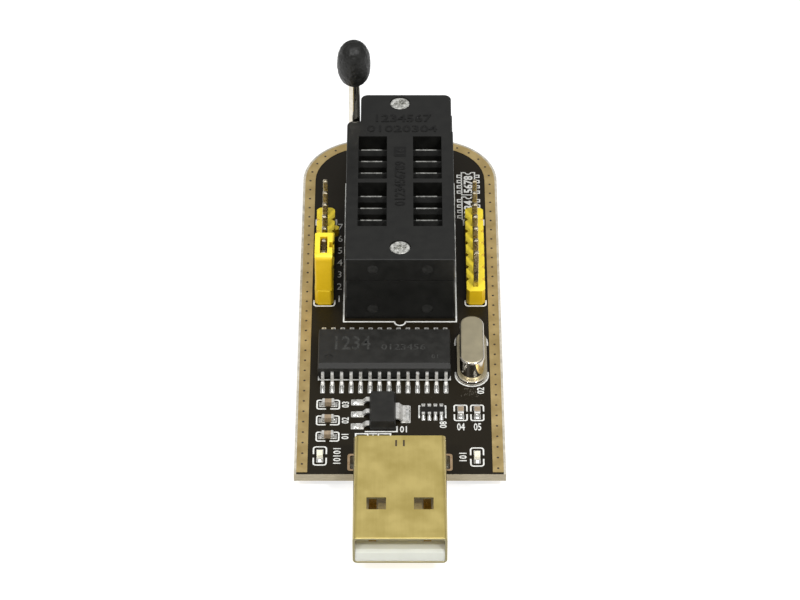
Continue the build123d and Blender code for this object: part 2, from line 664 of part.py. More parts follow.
def make_controller_leads():
    """Both rows of the controller's leads."""
    first = CHIP_CENTRE[0] - CHIP_LEAD_PITCH * (CHIP_LEADS_PER_SIDE - 1) / 2
    xs = [first + CHIP_LEAD_PITCH * i for i in range(CHIP_LEADS_PER_SIDE)]
    return [chip_lead(x, side) for side in (-1, 1) for x in xs]


def make_controller_body():
    """Moulded package: drafted sides, a bevel along its front and a pin-one dimple."""
    x, y = CHIP_CENTRE
    half_x, half_y = CHIP_SIZE[0] / 2, CHIP_SIZE[1] / 2
    front, rear = y - half_y, y + half_y
    front_top = front + CHIP_DRAFT / 2
    belt = (CHIP_LEAD_Z - CHIP_BELT, CHIP_LEAD_Z + CHIP_BELT)
    profile = (
        (front + CHIP_DRAFT, CHIP_STANDOFF), (front, belt[0]), (front, belt[1]),
        (front_top, CHIP_TOP_Z - CHIP_BEVEL), (front_top + CHIP_BEVEL, CHIP_TOP_Z),
        (rear - CHIP_DRAFT, CHIP_TOP_Z), (rear, belt[1]), (rear, belt[0]),
        (rear - CHIP_DRAFT, CHIP_STANDOFF),
    )
    body = extruded_x(profile, (x - half_x, x + half_x))
    left, right = x - half_x, x + half_x
    ends = (
        (left + CHIP_DRAFT, CHIP_STANDOFF), (right - CHIP_DRAFT, CHIP_STANDOFF),
        (right, CHIP_LEAD_Z), (right - CHIP_DRAFT, CHIP_TOP_Z),
        (left + CHIP_DRAFT, CHIP_TOP_Z), (left, CHIP_LEAD_Z),
    )
    body &= extruded_y(ends, (front - PAST, rear + PAST))
    dimple = (left + CHIP_DIMPLE[0], front + CHIP_DIMPLE[1])
    dimple_z = (CHIP_TOP_Z - CHIP_DIMPLE_DEPTH, CHIP_TOP_Z + PAST)
    return body - post(dimple, CHIP_DIMPLE_RADIUS, dimple_z)


def drafted_outline(low, high):
    """Six-sided side view of the regulator between two limits, widest at its belt."""
    bottom_inset, top_inset = REGULATOR_DRAFT
    return (
        (low + bottom_inset, REGULATOR_STANDOFF), (high - bottom_inset, REGULATOR_STANDOFF),
        (high, REGULATOR_BELT_Z), (high - top_inset, REGULATOR_TOP_Z),
        (low + top_inset, REGULATOR_TOP_Z), (low, REGULATOR_BELT_Z),
    )


def make_regulator_body():
    """Moulded regulator package with drafted sides."""
    x, y = REGULATOR_CENTRE
    left, right = x - REGULATOR_SIZE[0] / 2, x + REGULATOR_SIZE[0] / 2
    front, rear = y - REGULATOR_SIZE[1] / 2, y + REGULATOR_SIZE[1] / 2
    body = extruded_y(drafted_outline(left, right), (front, rear))
    return body & extruded_x(drafted_outline(front, rear), (left - PAST, right + PAST))


def regulator_foot(side, y, width):
    """One bent lead, or the tab, on the given side of the package."""
    x = REGULATOR_CENTRE[0]
    t = REGULATOR_LEAD_THICKNESS
    top = REGULATOR_LEAD_Z
    root = REGULATOR_SIZE[0] / 2 - SEAT
    knee = REGULATOR_SIZE[0] / 2 + REGULATOR_SHOULDER
    ankle = REGULATOR_SIZE[0] / 2 + REGULATOR_ANKLE
    offsets = (
        (root, top), (knee, top), (ankle, t), (REGULATOR_REACH, t),
        (REGULATOR_REACH, 0), (ankle - t / 2, 0), (knee - t / 3, top - t), (root, top - t),
    )
    points = [(x + side * dx, z) for dx, z in offsets]
    return extruded_y(points, (y - width / 2, y + width / 2))


def make_regulator_leads(body):
    """The regulator's three leads."""
    y = REGULATOR_CENTRE[1]
    places = [y + i * REGULATOR_LEAD_PITCH for i in (-1, 0, 1)]
    return [regulator_foot(-1, place, REGULATOR_LEAD_WIDTH) - body for place in places]


def make_regulator_tab(body):
    """The regulator's wide heat tab."""
    return regulator_foot(1, REGULATOR_CENTRE[1], REGULATOR_TAB_WIDTH) - body


def oblong(size, z_range):
    """A round-ended block centred on the crystal, long along Y."""
    slot = SlotOverall(size[1], size[0], rotation=90)
    place = Pos(CRYSTAL_CENTRE[0], CRYSTAL_CENTRE[1], z_range[0])
    return place * extrude(slot, z_range[1] - z_range[0])


def make_crystal_can():
    """Drawn metal can with a rolled flange and a softly rounded top."""
    bottom = CRYSTAL_PAD_THICKNESS
    flange = oblong(CRYSTAL_FLANGE, (bottom, bottom + CRYSTAL_FLANGE_HEIGHT))
    flange = fillet(flange.faces().sort_by(Axis.Z)[-1].edges(), CRYSTAL_FLANGE_ROUNDING)
    can = oblong(CRYSTAL_CAN, (bottom, CRYSTAL_HEIGHT))
    can = fillet(can.faces().sort_by(Axis.Z)[-1].edges(), CRYSTAL_TOP_ROUNDING)
    return flange + can


def make_crystal_base():
    """Thin insulating pad under the can."""
    size = [extent - CRYSTAL_PAD_INSET for extent in CRYSTAL_FLANGE]
    pad = oblong(size, (0, CRYSTAL_PAD_THICKNESS))
    for place in crystal_lead_places():
        pad -= post(place, CRYSTAL_LEAD_RADIUS, (-PAST, PAST))
    return pad


def make_crystal_leads():
    """The crystal's two leads, which stand on the can's underside."""
    z_range = (STUB_Z, CRYSTAL_PAD_THICKNESS)
    return [post(place, CRYSTAL_LEAD_RADIUS, z_range) for place in crystal_lead_places()]


def placed(shape, centre, turn):
    """Turn a part about Z and set it down on the board."""
    return Pos(centre[0], centre[1], 0) * Rot(0, 0, turn) * shape


def make_capacitor(centre, turn):
    """Ceramic body and its two metal end caps."""
    length, width = CHIP_PART
    inner = length / 2 - CAPACITOR_CAP
    body_size = (2 * inner, width - 2 * CAPACITOR_INSET)
    body = slab((0, 0), body_size, (BODY_STANDOFF, CAPACITOR_HEIGHT - CAPACITOR_INSET))
    ends = []
    for side in (-1, 1):
        centre_x = side * (inner + CAPACITOR_CAP / 2)
        end = slab((centre_x, 0), (CAPACITOR_CAP, width), (SEAT, CAPACITOR_HEIGHT))
        outer_face = end.faces().sort_by(Axis.X)[-1 if side > 0 else 0]
        end = fillet(outer_face.edges(), CAPACITOR_ROUNDING)
        ends.append(placed(end, centre, turn))
    return placed(body, centre, turn), ends


def make_led(centre, turn):
    """LED: a thin base, a clear lens on it and two terminals."""
    length, width = CHIP_PART
    lens_size = (length - 2 * LED_PAD, width)
    base = slab((0, 0), lens_size, (SEAT, LED_BASE_HEIGHT))
    lens = slab((0, 0), lens_size, (LED_BASE_HEIGHT, LED_BASE_HEIGHT + LED_LENS_HEIGHT))
    lens = chamfer(lens.faces().sort_by(Axis.Z)[-1].edges(), LED_LENS_CHAMFER)
    terminals = []
    for side in (-1, 1):
        centre_x = side * (length - LED_PAD) / 2
        terminal = slab((centre_x, 0), (LED_PAD, width), (SEAT, LED_BASE_HEIGHT))
        terminals.append(placed(terminal, centre, turn))
    return placed(base, centre, turn), placed(lens, centre, turn), terminals


def make_resistor_array():
    """Four-resistor array: a flat body and eight wrap-round terminals."""
    x, y = ARRAY_CENTRE
    length, width, height = ARRAY_SIZE
    body = slab((x, y), (length, width), (BODY_STANDOFF, height))
    terminals = []
    for i in range(4):
        terminal_x = x + ARRAY_PITCH * (i - 1.5)
        for side in (-1, 1):
            place = (terminal_x, y + side * (width / 2 - ARRAY_TERMINAL_INSET))
            terminal = slab(place, ARRAY_TERMINAL, (SEAT, height + SEAT))
            terminals.append(terminal)
            body -= terminal
    return body, terminals


def cone_down(place, radius, tip_radius):
    """A solder fillet under the board: a cone that narrows downwards."""
    middle_z = -BOARD_THICKNESS - SOLDER_HEIGHT / 2
    return Pos(*place, middle_z) * Cone(tip_radius, radius, SOLDER_HEIGHT)


def solder_cone(place, pin):
    """The fillet round one flat-sided pin."""
    joint = cone_down(place, SOLDER_RADIUS, SOLDER_TIP_RADIUS)
    return joint - slab(place, pin, (STUB_Z - PAST, 0))


def make_crystal_solder():
    """Solder fillets of the crystal's round leads."""
    joints = []
    for place in crystal_lead_places():
        joint = cone_down(place, CRYSTAL_SOLDER_RADIUS, CRYSTAL_SOLDER_TIP_RADIUS)
        joints.append(joint - post(place, CRYSTAL_LEAD_RADIUS, (STUB_Z - PAST, 0)))
    return joints


def make_usb_solder(shell):
    """Solder mounds where the shell's legs come through the board."""
    mounds = []
    width, length = [extent + 2 * USB_SOLDER_MARGIN for extent in USB_LEG_SLOT]
    for x, y in usb_leg_places():
        outline = SlotOverall(length, width, rotation=90)
        mound = extrude(outline, -USB_SOLDER_HEIGHT, taper=USB_SOLDER_TAPER)
        mounds.append(Pos(x, y, -BOARD_THICKNESS) * mound - shell)
    return mounds


def main():
    os.makedirs("parts", exist_ok=True)

    save("board", make_board())

    shell = make_usb_shell()
    contacts = make_usb_contacts()
    save("usb_shell", shell)
    save("usb_contacts", *contacts)
    save("usb_insulator", make_usb_insulator(contacts))
    save("usb_solder", *make_usb_solder(shell))

    save("zif_base", make_zif_base())
    save("zif_cover", make_zif_cover())
    for name, side in (("left", -1), ("right", 1)):
        row = [zif_contact(side * ZIF_ROW_X, y) for y in zif_slot_ys()]
        save(f"zif_contacts_{name}", *row)
    for name, y in zip(("front", "rear"), ZIF_SCREW_Y):
        save(f"zif_screw_{name}", make_zif_screw(y))
        save(f"zif_nut_{name}", make_zif_nut(y))
    save("zif_lever", make_lever())
    save("zif_knob", make_knob())
    save("zif_solder", *[solder_cone(place, TAIL_SIZE) for place in zif_pin_places()])

    for name, side in (("left", -1), ("right", 1)):
        save(f"header_{name}_housing", make_header_housing(side))
        save(f"header_{name}_pins", *make_header_pins(side))
        joints = [solder_cone((side * HEADER_X, y), (PIN_SIZE, PIN_SIZE)) for y in header_ys()]
        save(f"header_{name}_solder", *joints)
    save("jumper_cap", make_jumper_cap())
    save("jumper_clip", make_jumper_clip())

    save("controller_body", make_controller_body())
    save("controller_leads", *make_controller_leads())
    regulator = make_regulator_body()
    save("regulator_body", regulator)
    save("regulator_leads", *make_regulator_leads(regulator))
    save("regulator_tab", make_regulator_tab(regulator))
    save("crystal_can", make_crystal_can())
    save("crystal_base", make_crystal_base())
    save("crystal_leads", *make_crystal_leads())
    save("crystal_solder", *make_crystal_solder())

    for name, centre, turn in CAPACITORS:
        body, ends = make_capacitor(centre, turn)
        save(f"{name}_body", body)
        save(f"{name}_ends", *ends)
    for name, centre, turn in LEDS:
        base, lens, terminals = make_led(centre, turn)
        save(f"{name}_base", base)
        save(f"{name}_lens", lens)
        save(f"{name}_terminals", *terminals)
    body, terminals = make_resistor_array()
    save("resistor_array_body", body)
    save("resistor_array_terminals", *terminals)


main()
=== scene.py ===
import bpy
import bmesh
import json
import math
from mathutils import Matrix, Vector


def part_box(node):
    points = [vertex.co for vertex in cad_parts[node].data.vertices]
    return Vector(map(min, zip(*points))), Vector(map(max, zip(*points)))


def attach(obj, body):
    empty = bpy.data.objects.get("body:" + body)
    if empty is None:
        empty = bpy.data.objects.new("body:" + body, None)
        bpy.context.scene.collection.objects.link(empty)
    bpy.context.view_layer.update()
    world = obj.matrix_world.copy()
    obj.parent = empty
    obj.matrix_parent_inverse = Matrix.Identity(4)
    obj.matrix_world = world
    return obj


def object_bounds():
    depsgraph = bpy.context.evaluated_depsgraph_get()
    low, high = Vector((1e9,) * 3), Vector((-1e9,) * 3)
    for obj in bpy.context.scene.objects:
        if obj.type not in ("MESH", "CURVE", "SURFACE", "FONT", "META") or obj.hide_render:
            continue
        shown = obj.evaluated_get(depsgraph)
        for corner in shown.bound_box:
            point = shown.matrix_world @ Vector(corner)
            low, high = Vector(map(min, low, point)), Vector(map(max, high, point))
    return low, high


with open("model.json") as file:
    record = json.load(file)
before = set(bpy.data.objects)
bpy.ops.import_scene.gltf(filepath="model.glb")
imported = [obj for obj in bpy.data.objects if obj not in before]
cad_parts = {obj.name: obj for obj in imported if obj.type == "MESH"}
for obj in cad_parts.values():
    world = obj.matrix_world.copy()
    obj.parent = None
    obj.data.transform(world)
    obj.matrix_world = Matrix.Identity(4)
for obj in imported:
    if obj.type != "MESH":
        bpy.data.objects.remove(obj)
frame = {"nodes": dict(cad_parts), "record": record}
cad_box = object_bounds()

# The looks of a USB chip programmer, built round its CAD frame.
#
# Places are written in board millimetres: X from the board's centreline, Y back from its
# front edge, Z up from its top face. at() turns them into the frame's metres.

MM = 0.001
BOARD_LOW, BOARD_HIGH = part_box("board")
HALF_WIDTH = (BOARD_HIGH.x - BOARD_LOW.x) / 2 / MM
LENGTH = (BOARD_HIGH.y - BOARD_LOW.y) / MM
UNDER = (BOARD_LOW.z - BOARD_HIGH.z) / MM  # the board's under face
REAR_RADIUS = 9.15  # plan radius of the board's rear corners
COPPER = 0.035  # thickness of the pads and the border
INK = 0.03  # thickness of the print
FILM = 0.012  # thickness of the thinnest layers
PIN_PITCH = 2.54
LEAD_PITCH = 1.27
FACES = ((0.0, 1), (UNDER, -1))  # level of the board's two faces, and the way out of each
SPARE_PAD_X = (-5.2, -1.9)
SPARE_PAD_Y = (5.4, 7.25)


# ---------------------------------------------------------------- places and outlines

def at(x, y, z=0.0):
    """A point given in board millimetres, in the frame's metres."""
    return Vector((x * MM, BOARD_LOW.y + y * MM, BOARD_HIGH.z + z * MM))


def span(node):
    """A CAD node's lowest and highest corners, in board millimetres."""
    low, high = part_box(node)
    return (low - at(0, 0)) / MM, (high - at(0, 0)) / MM


def place_on(node, share, shift):
    """A plan place a share of the way across a CAD node's box, then shifted."""
    low, high = span(node)
    return [low[i] + (high[i] - low[i]) * share[i] + shift[i] for i in (0, 1)]


def row(first, pitch, count):
    """Evenly spaced values."""
    return [first + pitch * i for i in range(count)]


def arc(centre, radius, start, end, steps=6):
    """Points of an arc; angles in degrees, anticlockwise from +X."""
    angles = [math.radians(start + (end - start) * i / steps) for i in range(steps + 1)]
    return [(centre[0] + radius * math.cos(a), centre[1] + radius * math.sin(a)) for a in angles]


def corner_arcs(low, high, radius, steps):
    """The four corner arcs of a rounded rectangle, anticlockwise from its front right."""
    corners = (
        ((high[0] - radius, low[1] + radius), -90),
        ((high[0] - radius, high[1] - radius), 0),
        ((low[0] + radius, high[1] - radius), 90),
        ((low[0] + radius, low[1] + radius), 180),
    )
    return [arc(centre, radius, start, start + 90, steps) for centre, start in corners]


def rounded_box(low, high, radius, steps=4):
    """Points of a rectangle with rounded corners, anticlockwise from its front right."""
    return [point for corner in corner_arcs(low, high, radius, steps) for point in corner]


def circle(centre, radius, steps=16):
    """Points of a whole circle, anticlockwise."""
    return arc(centre, radius, 0, 360, steps)[:-1]


# ---------------------------------------------------------------- mesh making

MERGE_DISTANCE = 1e-7
SHARPEST_MITRE = 0.4  # limits a line's spike at a sharp turn
DOME_RINGS = (1.0, 0.94, 0.8, 0.6, 0.35)  # plan scale of a mound's rings
RAMP_HOLLOW = 1.7  # power of a fillet's fall from heel to toe
RAMP_SHOULDER = 0.55  # height of a fillet's sides, against its crown
RAMP_CROWN = 0.62  # share of the near side in each crown corner
RAMP_NARROWING = 0.25
STROKE_WEIGHT = 0.012  # added to a figure's strokes, in the typeface's units


def loft(mesh, rings, capped=True):
    """Quads between each ring of vertices and the next, and a cap at both ends."""
    for ring, following in zip(rings, rings[1:]):
        for i, corner in enumerate(ring):
            after = (i + 1) % len(ring)
            mesh.faces.new((corner, ring[after], following[after], following[i]))
    if capped:
        mesh.faces.new(rings[0][::-1])
        mesh.faces.new(rings[-1])


def prism(mesh, outline, *levels):
    """A closed prism on a plan outline that runs anticlockwise, up through its levels."""
    loft(mesh, [[mesh.verts.new(at(x, y, z)) for x, y in outline] for z in levels])


def frame_prism(mesh, outer, inner, z_low, z_high):
    """A closed ring between two outlines that have the same number of points."""
    corners = ((outer, z_high), (inner, z_high), (inner, z_low), (outer, z_low))
    rings = [[mesh.verts.new(at(x, y, z)) for x, y in outline] for outline, z in corners]
    loft(mesh, [*rings, rings[0]], capped=False)


def ribbon(mesh, points, width, z_low, z_high):
    """A flat line of constant width along open plan points, mitred at its turns."""
    rings = []
    for i, (x, y) in enumerate(points):
        before = Vector(points[max(i - 1, 0)])
        after = Vector(points[min(i + 1, len(points) - 1)])
        here = Vector((x, y))
        first = (here - before).normalized() if i > 0 else (after - here).normalized()
        second = (after - here).normalized() if i < len(points) - 1 else first
        normal = Vector((-(first.y + second.y), first.x + second.x)).normalized()
        mitre = max(SHARPEST_MITRE, normal.dot(Vector((-first.y, first.x))))
        shift = normal * width / 2 / mitre
        left, right = (x + shift.x, y + shift.y), (x - shift.x, y - shift.y)
        corners = ((left, z_low), (right, z_low), (right, z_high), (left, z_high))
        rings.append([mesh.verts.new(at(*place, z)) for place, z in corners])
    loft(mesh, rings)


def dome(mesh, centre, size, z_base, height, fullness=2.2, square=3.0, steps=16):
    """A closed mound on a rounded rectangle, such as solder that has wetted its pad."""
    def plan(angle, scale):
        cos, sin = math.cos(angle), math.sin(angle)
        reach = (abs(cos) ** square + abs(sin) ** square) ** (-1 / square)
        return (
            centre[0] + size[0] / 2 * reach * cos * scale,
            centre[1] + size[1] / 2 * reach * sin * scale,
        )

    angles = [2 * math.pi * i / steps for i in range(steps)]
    rings = []
    for scale in DOME_RINGS:
        z = z_base + height * (1 - scale ** fullness)
        rings.append([mesh.verts.new(at(*plan(a, scale), z)) for a in angles])
    top = mesh.verts.new(at(*centre, z_base + height))
    mesh.faces.new(rings[0][::-1])
    loft(mesh, rings, capped=False)
    for i in range(steps):
        mesh.faces.new((rings[-1][i], rings[-1][(i + 1) % steps], top))


def ramp(mesh, heel, toe, width, z_base, height, steps=5):
    """A closed solder fillet that falls in a hollow curve from a heel to a toe."""
    heel, toe = Vector(heel), Vector(toe)
    along = toe - heel
    side = Vector((-along.y, along.x)).normalized() * width / 2
    rings = []
    for i in range(steps + 1):
        t = i / steps
        z = z_base + height * (1 - t) ** RAMP_HOLLOW + FILM
        shoulder = z_base + (z - z_base) * RAMP_SHOULDER
        middle = heel + along * t
        spread = 1 - RAMP_NARROWING * t ** 3
        left, right = middle + side * spread, middle - side * spread
        crown_left = left * RAMP_CROWN + right * (1 - RAMP_CROWN)
        crown_right = left * (1 - RAMP_CROWN) + right * RAMP_CROWN
        section = (
            (right, z_base), (right, shoulder), (crown_right, z),
            (crown_left, z), (left, shoulder), (left, z_base),
        )
        rings.append([mesh.verts.new(at(*place, level)) for place, level in section])
    loft(mesh, rings)


def figures(mesh, text, centre, height, turn, z_low, z_high, squeeze=1.0, weight=STROKE_WEIGHT):
    """Digits lying on a level face, turned about Z; weight thickens or thins their strokes."""
    curve = bpy.data.curves.new("figures", "FONT")
    curve.body = text
    curve.resolution_u = 2
    curve.extrude = 0.5
    curve.offset = weight
    holder = bpy.data.objects.new("figures", curve)
    bpy.context.scene.collection.objects.link(holder)
    bpy.context.view_layer.update()
    shape = bpy.data.meshes.new_from_object(holder)
    bpy.data.objects.remove(holder)
    bpy.data.curves.remove(curve)
    corners = [v.co for v in shape.vertices]
    low = Vector([min(c[i] for c in corners) for i in range(3)])
    high = Vector([max(c[i] for c in corners) for i in range(3)])
    scale = height * MM / (high.y - low.y)
    place = (
        Matrix.Translation(at(*centre, (z_low + z_high) / 2))
        @ Matrix.Rotation(math.radians(turn), 4, "Z")
        @ Matrix.Diagonal((scale * squeeze, scale, (z_high - z_low) * MM, 1))
        @ Matrix.Translation(-(low + high) / 2)
    )
    shape.transform(place)
    mesh.from_mesh(shape)
    bpy.data.meshes.remove(shape)


def piece(name, mesh, finish, body="main", smooth=False):
    """Turns a bmesh into a named piece that rides on a body."""
    bmesh.ops.remove_doubles(mesh, verts=mesh.verts, dist=MERGE_DISTANCE)
    bmesh.ops.recalc_face_normals(mesh, faces=mesh.faces)
    data = bpy.data.meshes.new(name)
    mesh.to_mesh(data)
    mesh.free()
    made = bpy.data.objects.new(name, data)
    bpy.context.scene.collection.objects.link(made)
    data.materials.append(MATERIALS[finish])
    if smooth:
        for polygon in data.polygons:
            polygon.use_smooth = True
    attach(made, body)


# ---------------------------------------------------------------- materials

WEAVE_WAVE = 9000.0  # radians per metre: threads of the board's glass cloth
MOUTH_SHADE_DEPTH = (2.5, 4.5)  # behind the plug's mouth, where painted shade and gold reflection turn its insulator amber


def map_range(tree, source, limits):
    """A node that maps one range onto another: from low and high, to low and high."""
    made = tree.nodes.new("ShaderNodeMapRange")
    for key, value in zip(("From Min", "From Max", "To Min", "To Max"), limits):
        made.inputs[key].default_value = value
    tree.links.new(source, made.inputs["Value"])
    return made


class Nodes:
    """A material's node tree, with short ways to add and join nodes."""

    def __init__(self, name):
        self.material = bpy.data.materials.new(name)
        self.material.use_nodes = True
        self.tree = self.material.node_tree
        self.shader = self.tree.nodes["Principled BSDF"]
        self.where = self.tree.nodes.new("ShaderNodeTexCoord").outputs["Object"]

    def link(self, source, target):
        self.tree.links.new(source, target)

    def noise(self, size, detail=3.0, roughness=0.55, stretch=(1, 1, 1), distortion=0.0):
        """Noise whose blotches are about size millimetres across."""
        mapping = self.tree.nodes.new("ShaderNodeMapping")
        mapping.inputs["Scale"].default_value = [1 / (size * MM * s) for s in stretch]
        self.link(self.where, mapping.inputs["Vector"])
        made = self.tree.nodes.new("ShaderNodeTexNoise")
        made.inputs["Scale"].default_value = 1.0
        made.inputs["Detail"].default_value = detail
        made.inputs["Roughness"].default_value = roughness
        made.inputs["Distortion"].default_value = distortion
        self.link(mapping.outputs["Vector"], made.inputs["Vector"])
        return made.outputs["Fac"]

    def remap(self, source, low, high, out_low, out_high):
        return map_range(self.tree, source, (low, high, out_low, out_high)).outputs["Result"]

    def mix(self, factor, first, second):
        """Mix of two colours; each is three numbers or another node's output."""
        made = self.tree.nodes.new("ShaderNodeMix")
        made.data_type = "RGBA"
        self.link(factor, made.inputs["Factor"])
        for key, value in (("A", first), ("B", second)):
            socket = [s for s in made.inputs if s.name == key and s.type == "RGBA"][0]
            if isinstance(value, tuple):
                socket.default_value = (*value, 1)
            else:
                self.link(value, socket)
        return [s for s in made.outputs if s.type == "RGBA"][0]

    def math(self, operation, first, second):
        made = self.tree.nodes.new("ShaderNodeMath")
        made.operation = operation
        for socket, value in zip(made.inputs, (first, second)):
            if isinstance(value, (int, float)):
                socket.default_value = value
            else:
                self.link(value, socket)
        return made.outputs[0]

    def bump(self, height, depth, below=None):
        """Surface relief of depth millimetres, on top of another bump if one is given."""
        made = self.tree.nodes.new("ShaderNodeBump")
        made.inputs["Strength"].default_value = 1.0
        made.inputs["Distance"].default_value = depth * MM
        self.link(height, made.inputs["Height"])
        if below is not None:
            self.link(below, made.inputs["Normal"])
        return made.outputs["Normal"]

    def axis(self, output, name):
        """One axis of a vector output."""
        made = self.tree.nodes.new("ShaderNodeSeparateXYZ")
        self.link(output, made.inputs[0])
        return made.outputs[name]

    def facing(self, axis="Z"):
        """How squarely the face looks along an axis, either way, from 0 to 1."""
        made = self.tree.nodes.new("ShaderNodeNewGeometry")
        return self.math("ABSOLUTE", self.axis(made.outputs["Normal"], axis), 0.0)

    def set(self, **values):
        """Sets whole-surface values on the shader's own sockets."""
        for key, value in values.items():
            self.shader.inputs[key.replace("_", " ")].default_value = value

    def feed(self, **outputs):
        """Feeds the shader's sockets from other nodes."""
        for key, output in outputs.items():
            self.link(output, self.shader.inputs[key.replace("_", " ")])


def simple_finish(name, dark, pale, gloss, mottling, metallic, specular):
    """A material of two mottled shades, with uneven gloss and a fine grain."""
    nodes = Nodes(name)
    patch, grain, depth = mottling
    mottle = nodes.noise(patch, detail=4.0)
    nodes.feed(
        Base_Color=nodes.mix(nodes.remap(mottle, 0.35, 0.65, 0.0, 1.0), dark, pale),
        Roughness=nodes.remap(mottle, 0.3, 0.7, *gloss),
        Normal=nodes.bump(nodes.noise(grain, detail=2.0), depth),
    )
    nodes.set(Metallic=metallic, Specular_IOR_Level=specular)
    return nodes.material


def board_finish():
    """Dark epoxy mask over a woven laminate; the sawn edges show the bare laminate."""
    nodes = Nodes("solder_mask")
    level = nodes.remap(nodes.facing(), 0.4, 0.6, 0.0, 1.0)
    mottle = nodes.noise(6.0, detail=5.0)
    mask = nodes.mix(mottle, (0.009, 0.0065, 0.0025), (0.015, 0.0115, 0.006))
    fibres = nodes.noise(0.9, detail=4.0, stretch=(1, 1, 0.12))
    laminate = nodes.mix(fibres, (0.24, 0.205, 0.145), (0.46, 0.41, 0.30))
    threads = [
        nodes.math("SINE", nodes.math("MULTIPLY", nodes.axis(nodes.where, axis), WEAVE_WAVE), 0.0)
        for axis in "XY"
    ]
    weave = nodes.math("MULTIPLY", *threads)
    nodes.feed(
        Base_Color=nodes.mix(level, laminate, mask),
        Roughness=nodes.mix(level, (0.75, 0.75, 0.75), (0.36, 0.36, 0.36)),
        Normal=nodes.bump(nodes.noise(0.35), 0.004, below=nodes.bump(weave, 0.0015)),
    )
    nodes.set(Specular_IOR_Level=0.18)
    return nodes.material


def plug_finish():
    """Gold-plated sheet with faint rolling lines, cloudy tarnish and hair scratches; painted shade darkens
    its sides and dulls its rim to olive.
    """
    nodes = Nodes("plug_gold")
    cloud = nodes.noise(3.5, detail=5.0)
    rolled = nodes.noise(0.25, detail=3.0, stretch=(1, 30, 1))
    scratch = nodes.noise(0.12, detail=2.0, stretch=(14, 1, 1), distortion=0.4)
    tone = nodes.math("ADD", nodes.math("MULTIPLY", cloud, 0.82), nodes.math("MULTIPLY", rolled, 0.18))
    spread = nodes.remap(tone, 0.36, 0.62, 0.0, 1.0)
    plated = nodes.mix(spread, (0.80, 0.63, 0.20), (0.90, 0.73, 0.27))
    # Faces that do not look up are painted a darker gold, as shade.
    shaded_sides = nodes.mix(nodes.remap(nodes.facing(), 0.45, 0.9, 0.0, 1.0), (0.34, 0.28, 0.12), plated)
    # Faces that look along Y, round the mouth, are painted a dull olive, as shade and a dim reflection.
    painted_rim_shade = nodes.remap(nodes.facing("Y"), 0.5, 0.8, 0.0, 1.0)
    nodes.feed(
        Base_Color=nodes.mix(painted_rim_shade, shaded_sides, (0.32, 0.29, 0.17)),
        Roughness=nodes.mix(painted_rim_shade, nodes.remap(tone, 0.35, 0.65, 0.30, 0.42), (0.6, 0.6, 0.6)),
        Normal=nodes.bump(scratch, 0.0012, below=nodes.bump(rolled, 0.0011)),
    )
    nodes.set(Metallic=1.0)
    return nodes.material


def crystal_finish():
    """Nickel can: satin on its drawn flat top, mirror-bright round its sides."""
    nodes = Nodes("can_nickel")
    level = nodes.remap(nodes.facing(), 0.75, 0.97, 0.0, 1.0)
    cloud = nodes.noise(1.6, detail=4.0)
    scratch = nodes.noise(0.1, detail=2.0, stretch=(1, 12, 1))
    satin = nodes.remap(cloud, 0.3, 0.7, 0.40, 0.52)
    bright = nodes.remap(cloud, 0.3, 0.7, 0.06, 0.13)
    side = nodes.mix(cloud, (0.56, 0.52, 0.45), (0.68, 0.63, 0.55))
    top = nodes.mix(cloud, (0.50, 0.45, 0.31), (0.62, 0.55, 0.38))
    nodes.feed(
        Base_Color=nodes.mix(level, side, top),
        Roughness=nodes.mix(level, bright, satin),
        Normal=nodes.bump(scratch, 0.0010),
    )
    nodes.set(Metallic=1.0)
    return nodes.material


def screw_finish():
    """Zinc-plated steel, mottled light and dark."""
    nodes = Nodes("screw_steel")
    cloud = nodes.noise(0.45, detail=5.0, roughness=0.7)
    spread = nodes.remap(cloud, 0.40, 0.60, 0.0, 1.0)
    nodes.feed(
        Base_Color=nodes.mix(spread, (0.22, 0.22, 0.20), (0.86, 0.86, 0.81)),
        Roughness=nodes.remap(cloud, 0.35, 0.65, 0.48, 0.26),
        Normal=nodes.bump(cloud, 0.014),
    )
    nodes.set(Metallic=0.6)
    return nodes.material


def insulator_finish():
    """Milky white plastic, painted amber towards the back of the mouth as shade and reflected gold, with a
    faint glow as painted light.
    """
    nodes = Nodes("plug_white")
    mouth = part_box("usb_shell")[0].y
    mottle = nodes.noise(2.0, detail=4.0)
    white = nodes.mix(mottle, (0.50, 0.515, 0.47), (0.58, 0.595, 0.54))
    start, end = (mouth + behind * MM for behind in MOUTH_SHADE_DEPTH)
    # Painted shade and gold reflection: the white turns amber deeper inside the mouth.
    depth = nodes.remap(nodes.axis(nodes.where, "Y"), start, end, 0.0, 1.0)
    nodes.feed(
        Base_Color=nodes.mix(depth, white, (0.34, 0.26, 0.10)),
        Roughness=nodes.remap(mottle, 0.3, 0.7, 0.40, 0.52),
        Normal=nodes.bump(nodes.noise(0.2, detail=2.0), 0.004),
    )
    nodes.set(Subsurface_Weight=0.7, Subsurface_Scale=0.0012, Subsurface_Radius=(1.0, 1.0, 0.9))
    # A faint warm glow, painted light that brightens the shaded tongue inside the mouth.
    nodes.set(Emission_Color=(1.0, 0.90, 0.62, 1.0), Emission_Strength=0.06)
    return nodes.material


def header_finish():
    """Yellow moulded plastic, painted paler on its upper faces and darker on its sides, as light from
    above.
    """
    nodes = Nodes("header_yellow")
    # Painted light and shade: upper faces lit a pale lemon, sides shaded orange.
    level = nodes.remap(nodes.facing(), 0.3, 0.8, 0.0, 1.0)
    mottle = nodes.noise(1.2, detail=4.0)
    side = nodes.mix(mottle, (0.66, 0.42, 0.004), (0.78, 0.52, 0.014))
    top = nodes.mix(mottle, (0.88, 0.66, 0.025), (0.97, 0.78, 0.06))
    nodes.feed(
        Base_Color=nodes.mix(level, side, top),
        Roughness=nodes.remap(mottle, 0.3, 0.7, 0.36, 0.48),
        Normal=nodes.bump(nodes.noise(0.12, detail=2.0), 0.004),
    )
    nodes.set(Specular_IOR_Level=0.35)
    return nodes.material


